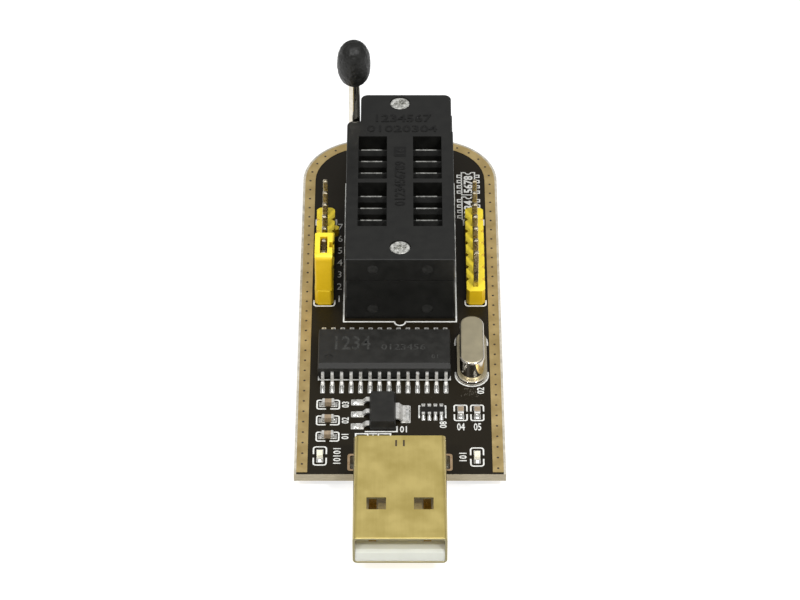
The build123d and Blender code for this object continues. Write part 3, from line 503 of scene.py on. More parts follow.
def led_finish():
    """Cloudy clear epoxy over a cream phosphor."""
    nodes = Nodes("led_clear")
    cloud = nodes.noise(0.4, detail=2.0)
    nodes.feed(
        Base_Color=nodes.mix(cloud, (0.80, 0.76, 0.56), (0.90, 0.88, 0.74)),
        Roughness=nodes.remap(cloud, 0.3, 0.7, 0.12, 0.24),
        Normal=nodes.bump(nodes.noise(0.2), 0.003),
    )
    nodes.set(Subsurface_Weight=0.3, Subsurface_Scale=0.0004, Subsurface_Radius=(1.0, 1.0, 0.8))
    nodes.set(Coat_Weight=0.5, Coat_Roughness=0.1)
    return nodes.material


# Simple finishes: two shades, roughness range, sizes of patches and grain with the grain's
# depth, metallic, specular.
SIMPLE_FINISHES = {
    "laminate": ((0.38, 0.35, 0.28), (0.56, 0.52, 0.43), (0.6, 0.8), (0.8, 0.12, 0.01), 0, 0.5),
    "pad_gold": ((0.66, 0.48, 0.2), (0.8, 0.61, 0.28), (0.3, 0.44), (2.5, 0.08, 0.0015), 1, 0.5),
    "ring_gold": ((0.62, 0.42, 0.24), (0.74, 0.54, 0.34), (0.26, 0.4), (0.6, 0.08, 0.0015), 1, 0.5),
    "silk_white": ((0.62, 0.62, 0.58), (0.78, 0.78, 0.75), (0.6, 0.75), (0.4, 0.06, 0.008), 0, 0.5),
    "contact_gold": ((0.66, 0.47, 0.18), (0.78, 0.58, 0.27), (0.2, 0.3), (0.6, 0.08, 0.0015), 1, 0.5),
    "socket_black": (
        (0.0045, 0.0045, 0.0038), (0.0075, 0.0075, 0.0063), (0.4, 0.54), (1.5, 0.1, 0.008), 0, 0.4
    ),
    "socket_pale": ((0.008, 0.008, 0.007), (0.024, 0.024, 0.022), (0.35, 0.5), (0.4, 0.08, 0.004), 0, 0.5),
    "socket_raised": (
        (0.0025, 0.0025, 0.002), (0.0045, 0.0045, 0.004), (0.3, 0.42), (0.5, 0.06, 0.005), 0, 0.3
    ),
    # Next: a pale grey, the painted highlight on the socket's rib crests.
    "socket_glint": ((0.1, 0.1, 0.092), (0.32, 0.32, 0.3), (0.16, 0.3), (0.5, 0.06, 0.003), 0, 0.5),
    "knob_black": ((0.006, 0.006, 0.005), (0.012, 0.012, 0.011), (0.34, 0.5), (0.7, 0.16, 0.02), 0, 0.32),
    "rod_steel": ((0.6, 0.56, 0.47), (0.72, 0.68, 0.6), (0.08, 0.16), (1.2, 0.08, 0.0015), 1, 0.5),
    "pin_brass": ((0.34, 0.29, 0.2), (0.56, 0.5, 0.37), (0.22, 0.36), (0.35, 0.08, 0.0015), 1, 0.5),
    "package_black": (
        (0.009, 0.0086, 0.0072), (0.0155, 0.015, 0.013), (0.44, 0.58), (1.2, 0.07, 0.007), 0, 0.38
    ),
    "lead_tin": ((0.62, 0.61, 0.57), (0.88, 0.87, 0.84), (0.24, 0.38), (0.5, 0.08, 0.0015), 0.7, 0.5),
    "solder": ((0.55, 0.55, 0.52), (0.88, 0.88, 0.86), (0.14, 0.3), (0.45, 0.08, 0.0015), 0.75, 0.5),
    "pad_insulator": ((0.04, 0.04, 0.04), (0.06, 0.06, 0.06), (0.5, 0.6), (1.0, 0.1, 0.004), 0, 0.5),
    "ceramic_tan": ((0.24, 0.18, 0.12), (0.34, 0.26, 0.17), (0.4, 0.55), (0.3, 0.05, 0.006), 0, 0.5),
    "array_black": ((0.006, 0.005, 0.004), (0.014, 0.012, 0.008), (0.25, 0.35), (0.6, 0.1, 0.004), 0, 0.3),
    "led_base": ((0.62, 0.62, 0.55), (0.74, 0.74, 0.68), (0.45, 0.6), (0.4, 0.06, 0.004), 0, 0.5),
    "mark_grey": ((0.008, 0.008, 0.007), (0.045, 0.045, 0.041), (0.5, 0.7), (0.25, 0.05, 0.004), 0, 0.5),
    "via_brown": ((0.03, 0.02, 0.01), (0.055, 0.038, 0.02), (0.4, 0.6), (0.3, 0.05, 0.004), 0, 0.5),
}

MATERIALS = {
    "solder_mask": board_finish(),
    "plug_gold": plug_finish(),
    "can_nickel": crystal_finish(),
    "screw_steel": screw_finish(),
    "led_clear": led_finish(),
    "plug_white": insulator_finish(),
    "header_yellow": header_finish(),
    **{name: simple_finish(name, *values) for name, values in SIMPLE_FINISHES.items()},
}


def finish_cad_nodes():
    """Gives every CAD node the material of its slot in the record."""
    for part in frame["record"]["subparts"]:
        data = frame["nodes"][part["node"]].data
        data.materials.clear()
        data.materials.append(MATERIALS[part["material_slot"]])


# ---------------------------------------------------------------- board trim

BAND_INSET = (0.3, 1.725)
BAND_FRONT = 0.35  # front ends of the border, from the board's front edge
VIA_FRONT = 0.9  # start of the row of vias
VIA_PITCH = 2.0
VIA_RADIUS = 0.16


def edge_path(inset, front_y=0.0, corner_steps=10):
    """Points round the board's left side, rear and right side, a given way in from the edge."""
    x = HALF_WIDTH - inset
    radius = REAR_RADIUS - inset
    corner = (HALF_WIDTH - REAR_RADIUS, LENGTH - REAR_RADIUS)
    left = arc((-corner[0], corner[1]), radius, 180, 90, corner_steps)
    right = arc(corner, radius, 90, 0, corner_steps)
    return [(-x, front_y), *left, *right, (x, front_y)]


def strip(mesh, insets, front_y, z_low, z_high):
    """A flat strip round three sides of the board, between two insets."""
    outer, inner = (edge_path(inset, front_y) for inset in insets)
    prism(mesh, outer[::-1] + inner, z_low, z_high)


def spaced(points, pitch):
    """Places along a line of points, a fixed pitch apart."""
    places = []
    left_over = pitch / 2
    for start, end in zip(points, points[1:]):
        run = Vector(end) - Vector(start)
        while left_over <= run.length:
            places.append(tuple(Vector(start) + run.normalized() * left_over))
            left_over += pitch
        left_over -= run.length
    return places


def board_trim():
    """Gold border with its row of stitching vias on both faces, and the routed bare edge."""
    for name, (face, out) in zip(("top", "under"), FACES):
        band = bmesh.new()
        strip(band, BAND_INSET, BAND_FRONT, *sorted((face, face + out * COPPER)))
        piece(f"border_band_{name}", band, "pad_gold")
        vias = bmesh.new()
        z = sorted((face + out * COPPER * 0.5, face + out * (COPPER + FILM)))
        for place in spaced(edge_path(sum(BAND_INSET) / 2, VIA_FRONT), VIA_PITCH):
            prism(vias, circle(place, VIA_RADIUS, 12), *z)
        piece(f"border_vias_{name}", vias, "via_brown")
        bare = bmesh.new()
        strip(bare, (0.0, BAND_INSET[0]), 0.0, *sorted((face, face + out * FILM)))
        piece(f"bare_edge_{name}", bare, "laminate")


# ---------------------------------------------------------------- silk print

SILK_WIDTH = 0.2
ARRAY_MARGIN = (0.35, 0.3)  # from the array's terminals to the line round them
DIODE_MARGIN = (0.65, 0.35)  # from the spare pads to their frame's sides and rear
DIODE_BRACKET = 1.6
DIODE_ARROW = (0.5, 0.1)  # half its width, and its tip short of the bar
DIODE_BAR = 0.55
CONTROLLER_LINE = (0.35, 1.3, 0.7)  # beyond the leads, behind their front tips, side ends
REGULATOR_LINE = (0.6, 0.15, 0.9)  # left end, margin, rear end
CRYSTAL_MARGIN = 0.27  # from the crystal's pad to the line round it
CRYSTAL_SIDE = 0.6  # straight ends of the two brackets of that line
SOCKET_MARGIN = (0.25, 0.7)  # from the socket's sides and front to the line
SOCKET_LINE_END = 7.0  # from the socket's rear
NOTCH_RADIUS = 0.75
HEADER_MARGIN = (0.15, 0.25)
HEADER_BRACKET = (1.2, 0.4)  # length of its sides, radius of its front corners
HEADER_PINS = 7
HEADER_NUMBER = (0.75, 1.3, 0.8, -0.006)  # from the housing, height, squeeze, weight
CHIP_PICTURE_X = (8.8, 10.69)
CHIP_PICTURE_FRONT = (51.3, 56.75)
CHIP_PICTURE_LENGTH = 5.0
CHIP_PICTURE_WIDTH = 0.17  # of its lines
CHIP_PICTURE_NOTCH = 0.4
CHIP_PICTURE_PINS = (0.62, 1.18, 4)  # first pin behind the front, pitch, count
CHIP_PICTURE_PIN = (0.62, 0.26)  # length and half width
CHIP_PICTURE_TEXT = (-0.15, 1.35, 1.12, 0.028)  # shift in Y, height, squeeze, weight

# Outlines: node, margins in X and Y, corner radius, half of the gap, axis the gap runs along.
GAPPED_OUTLINES = (
    *((f"capacitor_{i}_ends", (0.68, 0.44), 0.25, 0.28, "x") for i in (1, 2, 3)),
    *((f"capacitor_{i}_ends", (0.44, 0.68), 0.25, 0.28, "y") for i in (4, 5)),
    ("led_power_terminals", (0.44, 0.9), 0.35, 0.35, "y"),
    ("led_run_terminals", (0.44, 0.9), 0.35, 0.35, "y"),
)

# Figures: text, node, share of the way across its box and a shift from there, height, turn, squeeze.
PART_FIGURES = (
    *((f"0{i}", f"capacitor_{i}_ends", (1, 0.5), (1.5, 0), 0.95, 90, 0.95) for i in (1, 2, 3)),
    *((f"0{i}", f"capacitor_{i}_ends", (0.5, 0), (0, -1.88), 1.4, 0, 0.55) for i in (4, 5)),
    ("10101", "led_power_terminals", (1, 0.5), (1.84, 0), 1.0, 90, 1),
    ("101", "led_run_terminals", (0, 0.5), (-1.46, 0), 1.0, 90, 1),
    ("08", "resistor_array_terminals", (1, 0), (0, -1.55), 0.95, 90, 1),
    ("01", "regulator_body", (1, 0), (1.0, 0.3), 1.2, 0, 0.7),
    ("02", "crystal_base", (1, 0), (-0.8, -1.1), 0.95, 90, 1),
)


def printed(mesh, points, width=SILK_WIDTH):
    ribbon(mesh, points, width, 0.0, INK)


def label(mesh, text, centre, height, turn=0, squeeze=1.0, weight=STROKE_WEIGHT):
    figures(mesh, text, centre, height, turn, 0.0, INK, squeeze, weight)


def gapped_outline(mesh, low, high, radius, gap, along):
    """A rounded outline with a gap in the middle of two opposite sides."""
    middle = ((low[0] + high[0]) / 2, (low[1] + high[1]) / 2)
    arcs = corner_arcs(low, high, radius, 3)
    if along == "x":
        printed(mesh, [(middle[0] + gap, low[1]), *arcs[0], *arcs[1], (middle[0] + gap, high[1])])
        printed(mesh, [(middle[0] - gap, high[1]), *arcs[2], *arcs[3], (middle[0] - gap, low[1])])
    else:
        printed(mesh, [(high[0], middle[1] + gap), *arcs[1], *arcs[2], (low[0], middle[1] + gap)])
        printed(mesh, [(low[0], middle[1] - gap), *arcs[3], *arcs[0], (high[0], middle[1] - gap)])


def around(node, margin_x, margin_y):
    """Plan corners of a box round a CAD node."""
    low, high = span(node)
    return (low.x - margin_x, low.y - margin_y), (high.x + margin_x, high.y + margin_y)


def silk_of_spare_diode(mesh):
    """Frame and sign of the diode that this board leaves out."""
    side, behind = DIODE_MARGIN
    x_low, x_high = SPARE_PAD_X[0] - side, SPARE_PAD_X[1] + side
    front, rear = SPARE_PAD_Y[0], SPARE_PAD_Y[1] + behind
    for x, inner in ((x_low, x_low + DIODE_BRACKET), (x_high, x_high - DIODE_BRACKET)):
        printed(mesh, [(x, front), (x, rear), (inner, rear), (inner, front)])
    middle, level = (x_low + x_high) / 2, (front + rear) / 2
    half, short = DIODE_ARROW
    prism(mesh, [(middle - half, level), (middle + half, level), (middle, rear - short)], 0.0, INK)
    printed(mesh, [(middle - DIODE_BAR, rear), (middle + DIODE_BAR, rear)])


def silk_round_packages(mesh):
    """Lines beside the resistor array, the controller, the regulator and the crystal."""
    low, high = around("resistor_array_terminals", *ARRAY_MARGIN)
    printed(mesh, [low, (low[0], high[1]), high, (high[0], low[1])])

    beyond, behind, end = CONTROLLER_LINE
    low, high = around("controller_leads", beyond, -behind)
    printed(mesh, [(low[0], low[1] + end), low, (high[0], low[1]), (high[0], low[1] + end)])

    low, high = span("regulator_body")
    left, margin, end = REGULATOR_LINE
    front, right = low.y - margin, high.x + margin
    printed(mesh, [(low.x - left, front), (right, front), (right, low.y + end)])

    low, high = span("crystal_base")
    radius = (high.x - low.x) / 2 + CRYSTAL_MARGIN
    middle = (low.x + high.x) / 2
    front = low.y + radius - CRYSTAL_MARGIN
    rear = high.y - radius + CRYSTAL_MARGIN
    front_arc = arc((middle, front), radius, 180, 360, 12)
    rear_arc = arc((middle, rear), radius, 0, 180, 12)
    for bracket, inward in ((front_arc, CRYSTAL_SIDE), (rear_arc, -CRYSTAL_SIDE)):
        first, last = bracket[0], bracket[-1]
        printed(mesh, [(first[0], first[1] + inward), *bracket, (last[0], last[1] + inward)])


def silk_round_socket(mesh):
    """Outline of the chip socket's front and sides, with its pin-one notch."""
    low, high = around("zif_base", *SOCKET_MARGIN)
    front, rear = low[1], span("zif_base")[1].y - SOCKET_LINE_END
    printed(mesh, [(low[0], rear), (low[0], front), (-NOTCH_RADIUS, front)])
    printed(mesh, arc((0, front), NOTCH_RADIUS, 180, 360, 8))
    printed(mesh, [(NOTCH_RADIUS, front), (high[0], front), (high[0], rear)])


def silk_round_headers(mesh):
    """Brackets in front of and behind each header, and numbers beside the left one."""
    length, radius = HEADER_BRACKET
    for side in ("left", "right"):
        low, high = around(f"header_{side}_housing", *HEADER_MARGIN)
        front_right, _, _, front_left = corner_arcs(low, high, radius, 3)
        sides = low[1] + length
        printed(mesh, [(low[0], sides), *front_left, *front_right, (high[0], sides)])
        sides = high[1] - length
        printed(mesh, [(low[0], sides), (low[0], high[1]), high, (high[0], sides)])
    low, high = span("header_left_housing")
    right, height, squeeze, weight = HEADER_NUMBER
    for i, y in enumerate(row(low.y + PIN_PITCH / 2, PIN_PITCH, HEADER_PINS)):
        label(mesh, str(i + 1), (high.x + right, y), height, 0, squeeze, weight)


def silk_chip_picture(mesh):
    """Two small pictures of eight-pin chips end to end, which show how a chip goes in."""
    left, right = CHIP_PICTURE_X
    middle = (left + right) / 2
    notch, width = CHIP_PICTURE_NOTCH, CHIP_PICTURE_WIDTH
    first, pitch, count = CHIP_PICTURE_PINS
    length, half = CHIP_PICTURE_PIN
    shift, height, squeeze, weight = CHIP_PICTURE_TEXT
    for front, text in zip(CHIP_PICTURE_FRONT, ("1234", "5678")):
        rear = front + CHIP_PICTURE_LENGTH
        body = [(middle - notch, rear), (left, rear), (left, front), (right, front), (right, rear)]
        printed(mesh, [*body, (middle + notch, rear)], width)
        printed(mesh, arc((middle, rear), notch, 180, 360, 6), width)
        label(mesh, text, (middle, (front + rear) / 2 + shift), height, 90, squeeze, weight)
        for y in row(front + first, pitch, count):
            for x, tip in ((left, left - length), (right, right + length)):
                printed(mesh, [(x, y - half), (tip, y - half), (tip, y + half), (x, y + half)], width)


def silk_print():
    mesh = bmesh.new()
    silk_of_spare_diode(mesh)
    silk_chip_picture(mesh)
    for node, margins, radius, gap, along in GAPPED_OUTLINES:
        gapped_outline(mesh, *around(node, *margins), radius, gap, along)
    for text, node, share, shift, height, turn, squeeze in PART_FIGURES:
        label(mesh, text, place_on(node, share, shift), height, turn, squeeze)
    silk_round_packages(mesh)
    silk_round_socket(mesh)
    silk_round_headers(mesh)
    piece("silk_print", mesh, "silk_white")


# ---------------------------------------------------------------- pads and solder

SOLDER_BASE = COPPER * 0.8  # solder starts a little below its pad's surface
HEEL = 0.02  # how far a fillet's heel goes into the metal it climbs
CONTROLLER_LEADS = (14, 0.42)  # count on a side, width of each
CONTROLLER_PAD = (0.3, 1.35, 0.8)  # half width, reach beyond the lead's tip and under it
CONTROLLER_MOUND = (0.52, 1.65)
REGULATOR_PITCH = 2.3
REGULATOR_PAD = (0.55, 0.7, 1.0)  # half width, reach beyond the lead's tip and under it
REGULATOR_MOUND = (1.1, 0.98)
TAB_PAD = (0.15, 0.2, 1.1)  # margin at its sides, reach beyond the tab and under it
END_PAD = (0.05, 0.42, 0.45)  # margin at its sides, reach beyond the end cap and under it
ARRAY_TERMINALS = (4, 0.8, 0.42)  # count on a side, pitch, width
ARRAY_PAD = (0.24, 0.75, 0.35)  # half width, reach beyond the terminal and under it
SPARE_PAD_HALF = 0.5
LEG_X = 6.05  # the plug's legs, either side of the centreline
LEG_RING = (0.82, 1.58, 0.35)  # half width, half length and corner radius
LEG_SLOT = (0.5, 1.26, 0.2)
PIN_HOLE = 0.45

# Rows of pins: node, first pin's middle behind the node's front, count, radius of the rings.
PIN_ROWS = (
    ("zif_contacts_left", 0.58, 8, 1.05),
    ("zif_contacts_right", 0.58, 8, 1.05),
    ("header_left_pins", 0.32, HEADER_PINS, 1.0),
    ("header_right_pins", 0.32, HEADER_PINS, 1.0),
)
CRYSTAL_LEAD = 0.22  # radius of a lead
CRYSTAL_RING = 0.9


def pad(mesh, across, along, radius):
    """A copper pad on the top face, between two places in X and two in Y."""
    (x_low, x_high), (y_low, y_high) = sorted(across), sorted(along)
    prism(mesh, rounded_box((x_low, y_low), (x_high, y_high), radius), 0.0, COPPER)


def controller_pads(pads, solder):
    """Pads of both lead rows, wetted past each lead's tip."""
    low, high = span("controller_leads")
    count, width = CONTROLLER_LEADS
    half, beyond, under = CONTROLLER_PAD
    for x in row(low.x + width / 2, LEAD_PITCH, count):
        for tip, out in ((low.y, -1), (high.y, 1)):
            pad(pads, (x - half, x + half), (tip + out * beyond, tip - out * under), 0.08)
            dome(solder, (x, tip + out * 0.45), CONTROLLER_MOUND, SOLDER_BASE, 0.30, 2.6)
            ramp(solder, (x, tip + out * HEEL), (x, tip - out * 0.75), 0.5, SOLDER_BASE, 0.2)


def regulator_pads(pads, solder):
    """Three lead pads and the wide tab pad."""
    low, high = span("regulator_leads")
    middle = (low.y + high.y) / 2
    half, beyond, under = REGULATOR_PAD
    for y in row(middle - REGULATOR_PITCH, REGULATOR_PITCH, 3):
        pad(pads, (low.x - beyond, low.x + under), (y - half, y + half), 0.1)
        dome(solder, (low.x - 0.05, y), REGULATOR_MOUND, SOLDER_BASE, 0.26, 2.4)
    low, high = span("regulator_tab")
    middle = (low.y + high.y) / 2
    margin, beyond, under = TAB_PAD
    half = (high.y - low.y) / 2 + margin
    pad(pads, (high.x - under, high.x + beyond), (middle - half, middle + half), 0.12)
    dome(solder, (high.x - 0.25, middle), (0.8, 2 * half - margin), SOLDER_BASE, 0.3, 2.6, square=6)


def end_pads(pads, solder, node, height, turned):
    """A two-ended part's pads, with a fillet climbing each end; turned parts lie along Y."""
    low, high = span(node)
    along, across = (1, 0) if turned else (0, 1)
    margin, reach, under = END_PAD
    middle = (low[across] + high[across]) / 2
    half = (high[across] - low[across]) / 2 + margin
    for end, out in ((low[along], -1), (high[along], 1)):
        sides = (middle - half, middle + half)
        run = (end - out * under, end + out * reach)
        heel, toe = (middle, end - out * HEEL), (middle, end + out * (reach - 0.03))
        if turned:
            pad(pads, sides, run, 0.06)
        else:
            pad(pads, run, sides, 0.06)
            heel, toe = heel[::-1], toe[::-1]
        ramp(solder, heel, toe, 2 * half - 0.12, SOLDER_BASE, height)


def array_pads(pads, solder):
    """Pads along the resistor array's front and rear, each with its fillet."""
    low, high = span("resistor_array_terminals")
    count, pitch, width = ARRAY_TERMINALS
    half, beyond, under = ARRAY_PAD
    for x in row(low.x + width / 2, pitch, count):
        for end, out in ((low.y, -1), (high.y, 1)):
            pad(pads, (x - half, x + half), (end - out * under, end + out * beyond), 0.05)
            ramp(solder, (x, end - out * HEEL), (x, end + out * 0.7), 0.4, SOLDER_BASE, 0.36)


def ring(mesh, outer, inner, face, out):
    """A flat ring of copper on the board's top or under face."""
    frame_prism(mesh, outer, inner, *sorted((face, face + out * COPPER)))


def leg_rings(mesh):
    """Rings round the slots that the plug's legs pass through."""
    low, high = span("usb_solder")
    y = (low.y + high.y) / 2
    for x in (-LEG_X, LEG_X):
        outer, inner = (
            rounded_box((x - half_x, y - half_y), (x + half_x, y + half_y), radius)
            for half_x, half_y, radius in (LEG_RING, LEG_SLOT)
        )
        for face, out in FACES:
            ring(mesh, outer, inner, face, out)


def pin_rings(mesh):
    """Rings round every through-board pin of the socket, the headers and the crystal."""
    places = []
    for node, first, count, radius in PIN_ROWS:
        low, high = span(node)
        for y in row(low.y + first, PIN_PITCH, count):
            places.append((((low.x + high.x) / 2, y), radius))
    low, high = span("crystal_leads")
    for y in (low.y + CRYSTAL_LEAD, high.y - CRYSTAL_LEAD):
        places.append((((low.x + high.x) / 2, y), CRYSTAL_RING))
    for centre, radius in places:
        for face, out in FACES:
            ring(mesh, circle(centre, radius), circle(centre, PIN_HOLE), face, out)


def pads_and_solder():
    pads, solder, spare, rings = (bmesh.new() for _ in range(4))
    controller_pads(pads, solder)
    regulator_pads(pads, solder)
    array_pads(pads, solder)
    for i in (1, 2, 3, 4, 5):
        end_pads(pads, solder, f"capacitor_{i}_ends", 0.5, turned=i > 3)
    for node in ("led_power", "led_run"):
        end_pads(pads, solder, f"{node}_terminals", 0.24, turned=True)
    piece("surface_pads", pads, "lead_tin")
    piece("surface_solder", solder, "solder", smooth=True)
    for x in SPARE_PAD_X:
        pad(spare, (x - SPARE_PAD_HALF, x + SPARE_PAD_HALF), SPARE_PAD_Y, 0.1)
    piece("spare_pads", spare, "pad_gold")
    leg_rings(rings)
    pin_rings(rings)
    piece("pin_rings", rings, "ring_gold")


# ---------------------------------------------------------------- socket, plug and chip trim

RIB_RECESS = 0.8  # ridge of each rib, below the cover's top
RIB_ROW_X = 3.81
CREST_SIZE = (2.96, 0.2, 0.05)
CREST_SHIFT = -0.15  # from the middle of the slots
SUNK = 0.02  # how far a raised detail starts below its face
EJECTOR_X = 3.7
EJECTOR_Z = (1.75, 8.85)
EJECTOR_RADIUS = 0.74
EJECTOR_DEPTH = 0.07
EJECTOR_FILM = 0.02
CRIMP_X = 0.5
CRIMP_Y = (2.0, 0.85)  # ends of the crimp's grooves, from the shell's rear
CRIMP_Z = (0.19, 0.03)  # bottom and top of the painted shade, below the shell's top
CRIMP_HALF = 0.11
NUB_PLACE = 14.4  # rear of the scrap, behind the housing's front
NUB_Z = (0.9, 2.1)
NUB_OUTLINE = ((-0.3, -1.1), (0.5, -0.85), (0.62, -0.3), (0.3, 0.0), (-0.3, 0.1))
MARK_Z = (-0.01, 0.006)  # bottom and top of the laser marks, from the body's top
FIGURE_RISE = 0.09  # height of the moulded figures, from SUNK below the cover's top
PLATE_RISE = 0.06  # height of the plate under the count
PLATE = ((-0.85, 52.4), (0.85, 54.5))
COUNT_BASE = 0.05  # bottom of the count's figures, inside the plate
COUNT_HEIGHT = 1.15

# Controller marks: text, share of the way across the body and a shift from there, height, squeeze.
CHIP_FIGURES = (
    ("1234", (0, 0), (4.7, 4.6), 2.7, 0.72),
    ("0123456", (0, 0), (11.5, 3.8), 1.15, 1.1),
    ("01", (1, 0), (-2.2, 1.9), 0.8, 1),
)

# Cover figures: text, place on the board's plan, height, turn, squeeze.
COVER_FIGURES = (
    ("1234567", (0.5, 60.9), 1.65, 0, 1.05),
    ("01020304", (0.3, 58.55), 1.45, 0, 1.25),
    ("0123456789", (0.0, 46.5), 1.5, 90, 0.95),
)


def rib_places():
    """Plan places of the ridges between the pin slots, three to each window."""
    low, high = span("zif_contacts_left")
    middle_y = (low.y + high.y) / 2
    for side in (-1, 1):
        for window in (-1, 1):
            for step in (-1, 0, 1):
                yield side * RIB_ROW_X, middle_y + PIN_PITCH * (2 * window + step)


def rib_crest_glints():
    """A pale crest along each rib, a painted highlight where its rounded ridge catches the light."""
    top = span("zif_cover")[1].z - RIB_RECESS
    length, width, height = CREST_SIZE
    mesh = bmesh.new()
    for x, y in rib_places():
        low = (x + CREST_SHIFT - length / 2, y - width / 2)
        high = (x + CREST_SHIFT + length / 2, y + width / 2)
        # Pale bars on the ridges: a painted highlight.
        prism(mesh, rounded_box(low, high, width * 0.45, 3), top - SUNK, top + height)
    piece("rib_crest_glints", mesh, "socket_glint", body="cover")


def ejector_marks(name, z, body):
    """Paler discs on the socket's front, where ejector pins pushed it out of its mould."""
    front = span("zif_base")[0].y
    mesh = bmesh.new()
    for x in (-EJECTOR_X, EJECTOR_X):
        prism(mesh, circle((x, z), EJECTOR_RADIUS, 24), 0.0, EJECTOR_FILM)
    upright = Matrix.Rotation(math.radians(90), 3, "X")
    bmesh.ops.rotate(mesh, verts=mesh.verts, matrix=upright, cent=at(0.0, 0.0))
    bmesh.ops.translate(mesh, verts=mesh.verts, vec=(0, (front + EJECTOR_DEPTH) * MM, 0))
    piece(name, mesh, "socket_pale", body=body)


def crimp_cuts():
    """Painted shade in the two grooves pressed either side of the shell's crimp."""
    low, high = span("usb_shell")
    middle = (low.x + high.x) / 2
    front, rear = (high.y - back for back in CRIMP_Y)
    mesh = bmesh.new()
    for x in (middle - CRIMP_X, middle + CRIMP_X):
        outline = rounded_box((x - CRIMP_HALF, front), (x + CRIMP_HALF, rear), 0.03)
        prism(mesh, outline, *(high.z - down for down in CRIMP_Z))
    piece("crimp_groove_shade", mesh, "via_brown")


def header_nub():
    """A scrap of plastic left where the header strip was broken off."""
    low, high = span("header_left_housing")
    mesh = bmesh.new()
    prism(mesh, [(high.x + x, low.y + NUB_PLACE + y) for x, y in NUB_OUTLINE], *NUB_Z)
    piece("header_nub", mesh, "header_yellow")


def chip_marks():
    """Faint laser-marked figures on the controller."""
    z = [span("controller_body")[1].z + level for level in MARK_Z]
    mesh = bmesh.new()
    for text, share, shift, height, squeeze in CHIP_FIGURES:
        figures(mesh, text, place_on("controller_body", share, shift), height, 0, *z, squeeze)
    piece("chip_marks", mesh, "mark_grey")


def socket_figures():
    """Raised moulded figures on the sliding cover, and the count of contacts on its plate."""
    z_low = span("zif_cover")[1].z - SUNK
    z_high = z_low + FIGURE_RISE
    mesh = bmesh.new()
    for text, centre, height, turn, squeeze in COVER_FIGURES:
        figures(mesh, text, centre, height, turn, z_low, z_high, squeeze)
    prism(mesh, rounded_box(*PLATE, 0.15), z_low, z_low + PLATE_RISE)
    piece("socket_figures", mesh, "socket_raised", body="cover")
    count = bmesh.new()
    middle = [(low + high) / 2 for low, high in zip(*PLATE)]
    figures(count, "16", middle, COUNT_HEIGHT, 90, z_low + COUNT_BASE, z_high)
    piece("socket_count", count, "socket_black", body="cover")


# ---------------------------------------------------------------- CAD surfaces

ROUNDED_ANGLE = 35  # edges that turn by more degrees than this are rounded
SKIN_VOXEL = 0.11
SKIN = (("dimples", 0.75, 0.05), ("pebbles", 0.30, 0.045))  # name, width and height

# Radii and the CAD nodes that have them: moulded and cut edges are never quite sharp.
EDGE_ROUNDING = {
    0.05: ("controller_body", "regulator_body", "header_left_housing", "header_right_housing",
           "jumper_cap", "zif_base", "resistor_array_body", "usb_insulator"),
    0.04: ("controller_leads", "regulator_leads", "regulator_tab", "header_left_pins",
           "header_right_pins", "jumper_clip", "zif_screw_front", "zif_screw_rear"),
    0.03: ("usb_shell", "usb_contacts", "zif_contacts_left", "zif_contacts_right", "zif_cover"),
}


def round_edges():
    """Rounds the sharp edges of the CAD nodes."""
    for width, nodes in EDGE_ROUNDING.items():
        for node in nodes:
            shown = frame["nodes"][node]
            weld = shown.modifiers.new("weld", "WELD")
            weld.merge_threshold = MERGE_DISTANCE
            bevel = shown.modifiers.new("rounding", "BEVEL")
            bevel.width = width * MM
            bevel.segments = 2
            bevel.limit_method = "ANGLE"
            bevel.angle_limit = math.radians(ROUNDED_ANGLE)
            bevel.harden_normals = True
            bevel.use_clamp_overlap = True


def knob_skin():
    """Raises a fine pebble on the dipped vinyl knob."""
    shown = frame["nodes"]["zif_knob"]
    remesh = shown.modifiers.new("skin", "REMESH")
    remesh.mode = "VOXEL"
    remesh.voxel_size = SKIN_VOXEL * MM
    remesh.use_smooth_shade = True
    for name, size, height in SKIN:
        pattern = bpy.data.textures.new(name, "CLOUDS")
        pattern.noise_scale = size * MM
        pattern.noise_depth = 1
        relief = shown.modifiers.new(name, "DISPLACE")
        relief.texture = pattern
        relief.strength = height * 2 * MM
        relief.mid_level = 0.5


# ---------------------------------------------------------------- set

CAMERA_PLACE = (0.0, -0.34724, 0.31736)
CAMERA_AIM = (0.0, 0.00765, 0.0027)
CAMERA_LENS = 155.09
SENSOR_WIDTH = 36.0
LIGHT_AIM = (0, 0, 0.005)
FLOOR_SIZE = 3.0
FLOOR_GAP = 0.00002  # keeps the floor clear of the lowest points
HORIZON_FADE = (0.10, 0.50)  # upward part of a direction, from dim to full sky
SKY_STRENGTH = (0.20, 0.49)

# Lamps: name, place, width and length, power in watts.
LIGHTS = (
    ("overhead", (0.03, -0.08, 0.70), (0.70, 0.55), 2.2),
    ("key_left", (-0.30, -0.41, 0.61), (0.06, 0.06), 1.7),
    ("key_right", (0.30, -0.41, 0.61), (0.06, 0.06), 2.6),
)


def look_at(thing, place, aim):
    thing.location = place
    thing.rotation_mode = "QUATERNION"
    thing.rotation_quaternion = (Vector(aim) - Vector(place)).to_track_quat("-Z", "Y")


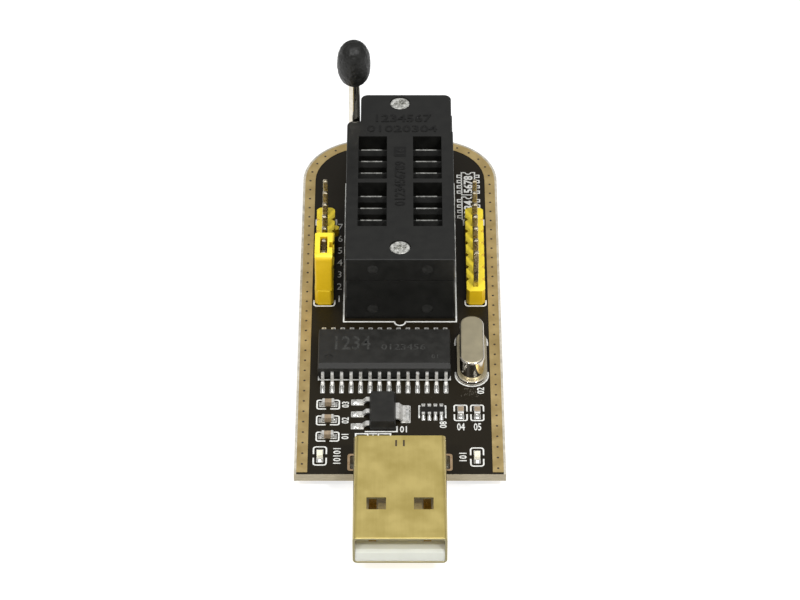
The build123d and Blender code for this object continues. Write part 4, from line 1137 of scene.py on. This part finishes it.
def add_camera():
    camera = bpy.data.objects.new("camera", bpy.data.cameras.new("camera"))
    camera.data.lens = CAMERA_LENS
    camera.data.sensor_width = SENSOR_WIDTH
    camera.data.clip_start = 0.01
    bpy.context.scene.collection.objects.link(camera)
    look_at(camera, CAMERA_PLACE, CAMERA_AIM)
    bpy.context.scene.camera = camera


def add_light(name, place, size, power):
    light = bpy.data.lights.new(name, "AREA")
    light.shape = "RECTANGLE"
    light.size, light.size_y = size
    light.energy = power
    made = bpy.data.objects.new(name, light)
    bpy.context.scene.collection.objects.link(made)
    look_at(made, place, LIGHT_AIM)


def add_floor():
    """A white floor just under the object."""
    mesh = bmesh.new()
    bmesh.ops.create_grid(mesh, x_segments=1, y_segments=1, size=FLOOR_SIZE)
    data = bpy.data.meshes.new("floor")
    mesh.to_mesh(data)
    mesh.free()
    floor = bpy.data.objects.new("floor", data)
    floor.location.z = cad_box[0].z - FLOOR_GAP
    nodes = Nodes("floor_white")
    nodes.feed(Base_Color=nodes.mix(nodes.noise(400.0), (0.38, 0.38, 0.38), (0.40, 0.40, 0.40)))
    nodes.set(Roughness=0.9, Emission_Color=(1, 1, 1, 1), Emission_Strength=0.75)
    data.materials.append(nodes.material)
    bpy.context.scene.collection.objects.link(floor)


def add_world():
    """A pale dome overhead that falls off to a dim surround near the horizon."""
    world = bpy.data.worlds.new("studio")
    world.use_nodes = True
    tree = world.node_tree
    where = tree.nodes.new("ShaderNodeTexCoord")
    axes = tree.nodes.new("ShaderNodeSeparateXYZ")
    tree.links.new(where.outputs["Generated"], axes.inputs[0])
    fade = map_range(tree, axes.outputs["Z"], HORIZON_FADE + SKY_STRENGTH)
    fade.interpolation_type = "SMOOTHSTEP"
    background = tree.nodes["Background"]
    background.inputs["Color"].default_value = (1.0, 1.0, 1.0, 1)
    tree.links.new(fade.outputs["Result"], background.inputs["Strength"])
    bpy.context.scene.world = world


finish_cad_nodes()
board_trim()
silk_print()
pads_and_solder()
rib_crest_glints()
socket_figures()
chip_marks()
ejector_marks("ejector_marks_base", EJECTOR_Z[0], "main")
ejector_marks("ejector_marks_cover", EJECTOR_Z[1], "cover")
crimp_cuts()
header_nub()
round_edges()
knob_skin()
add_camera()
add_floor()
add_world()
for light in LIGHTS:
    add_light(*light)
bpy.context.scene.view_settings.view_transform = "Standard"
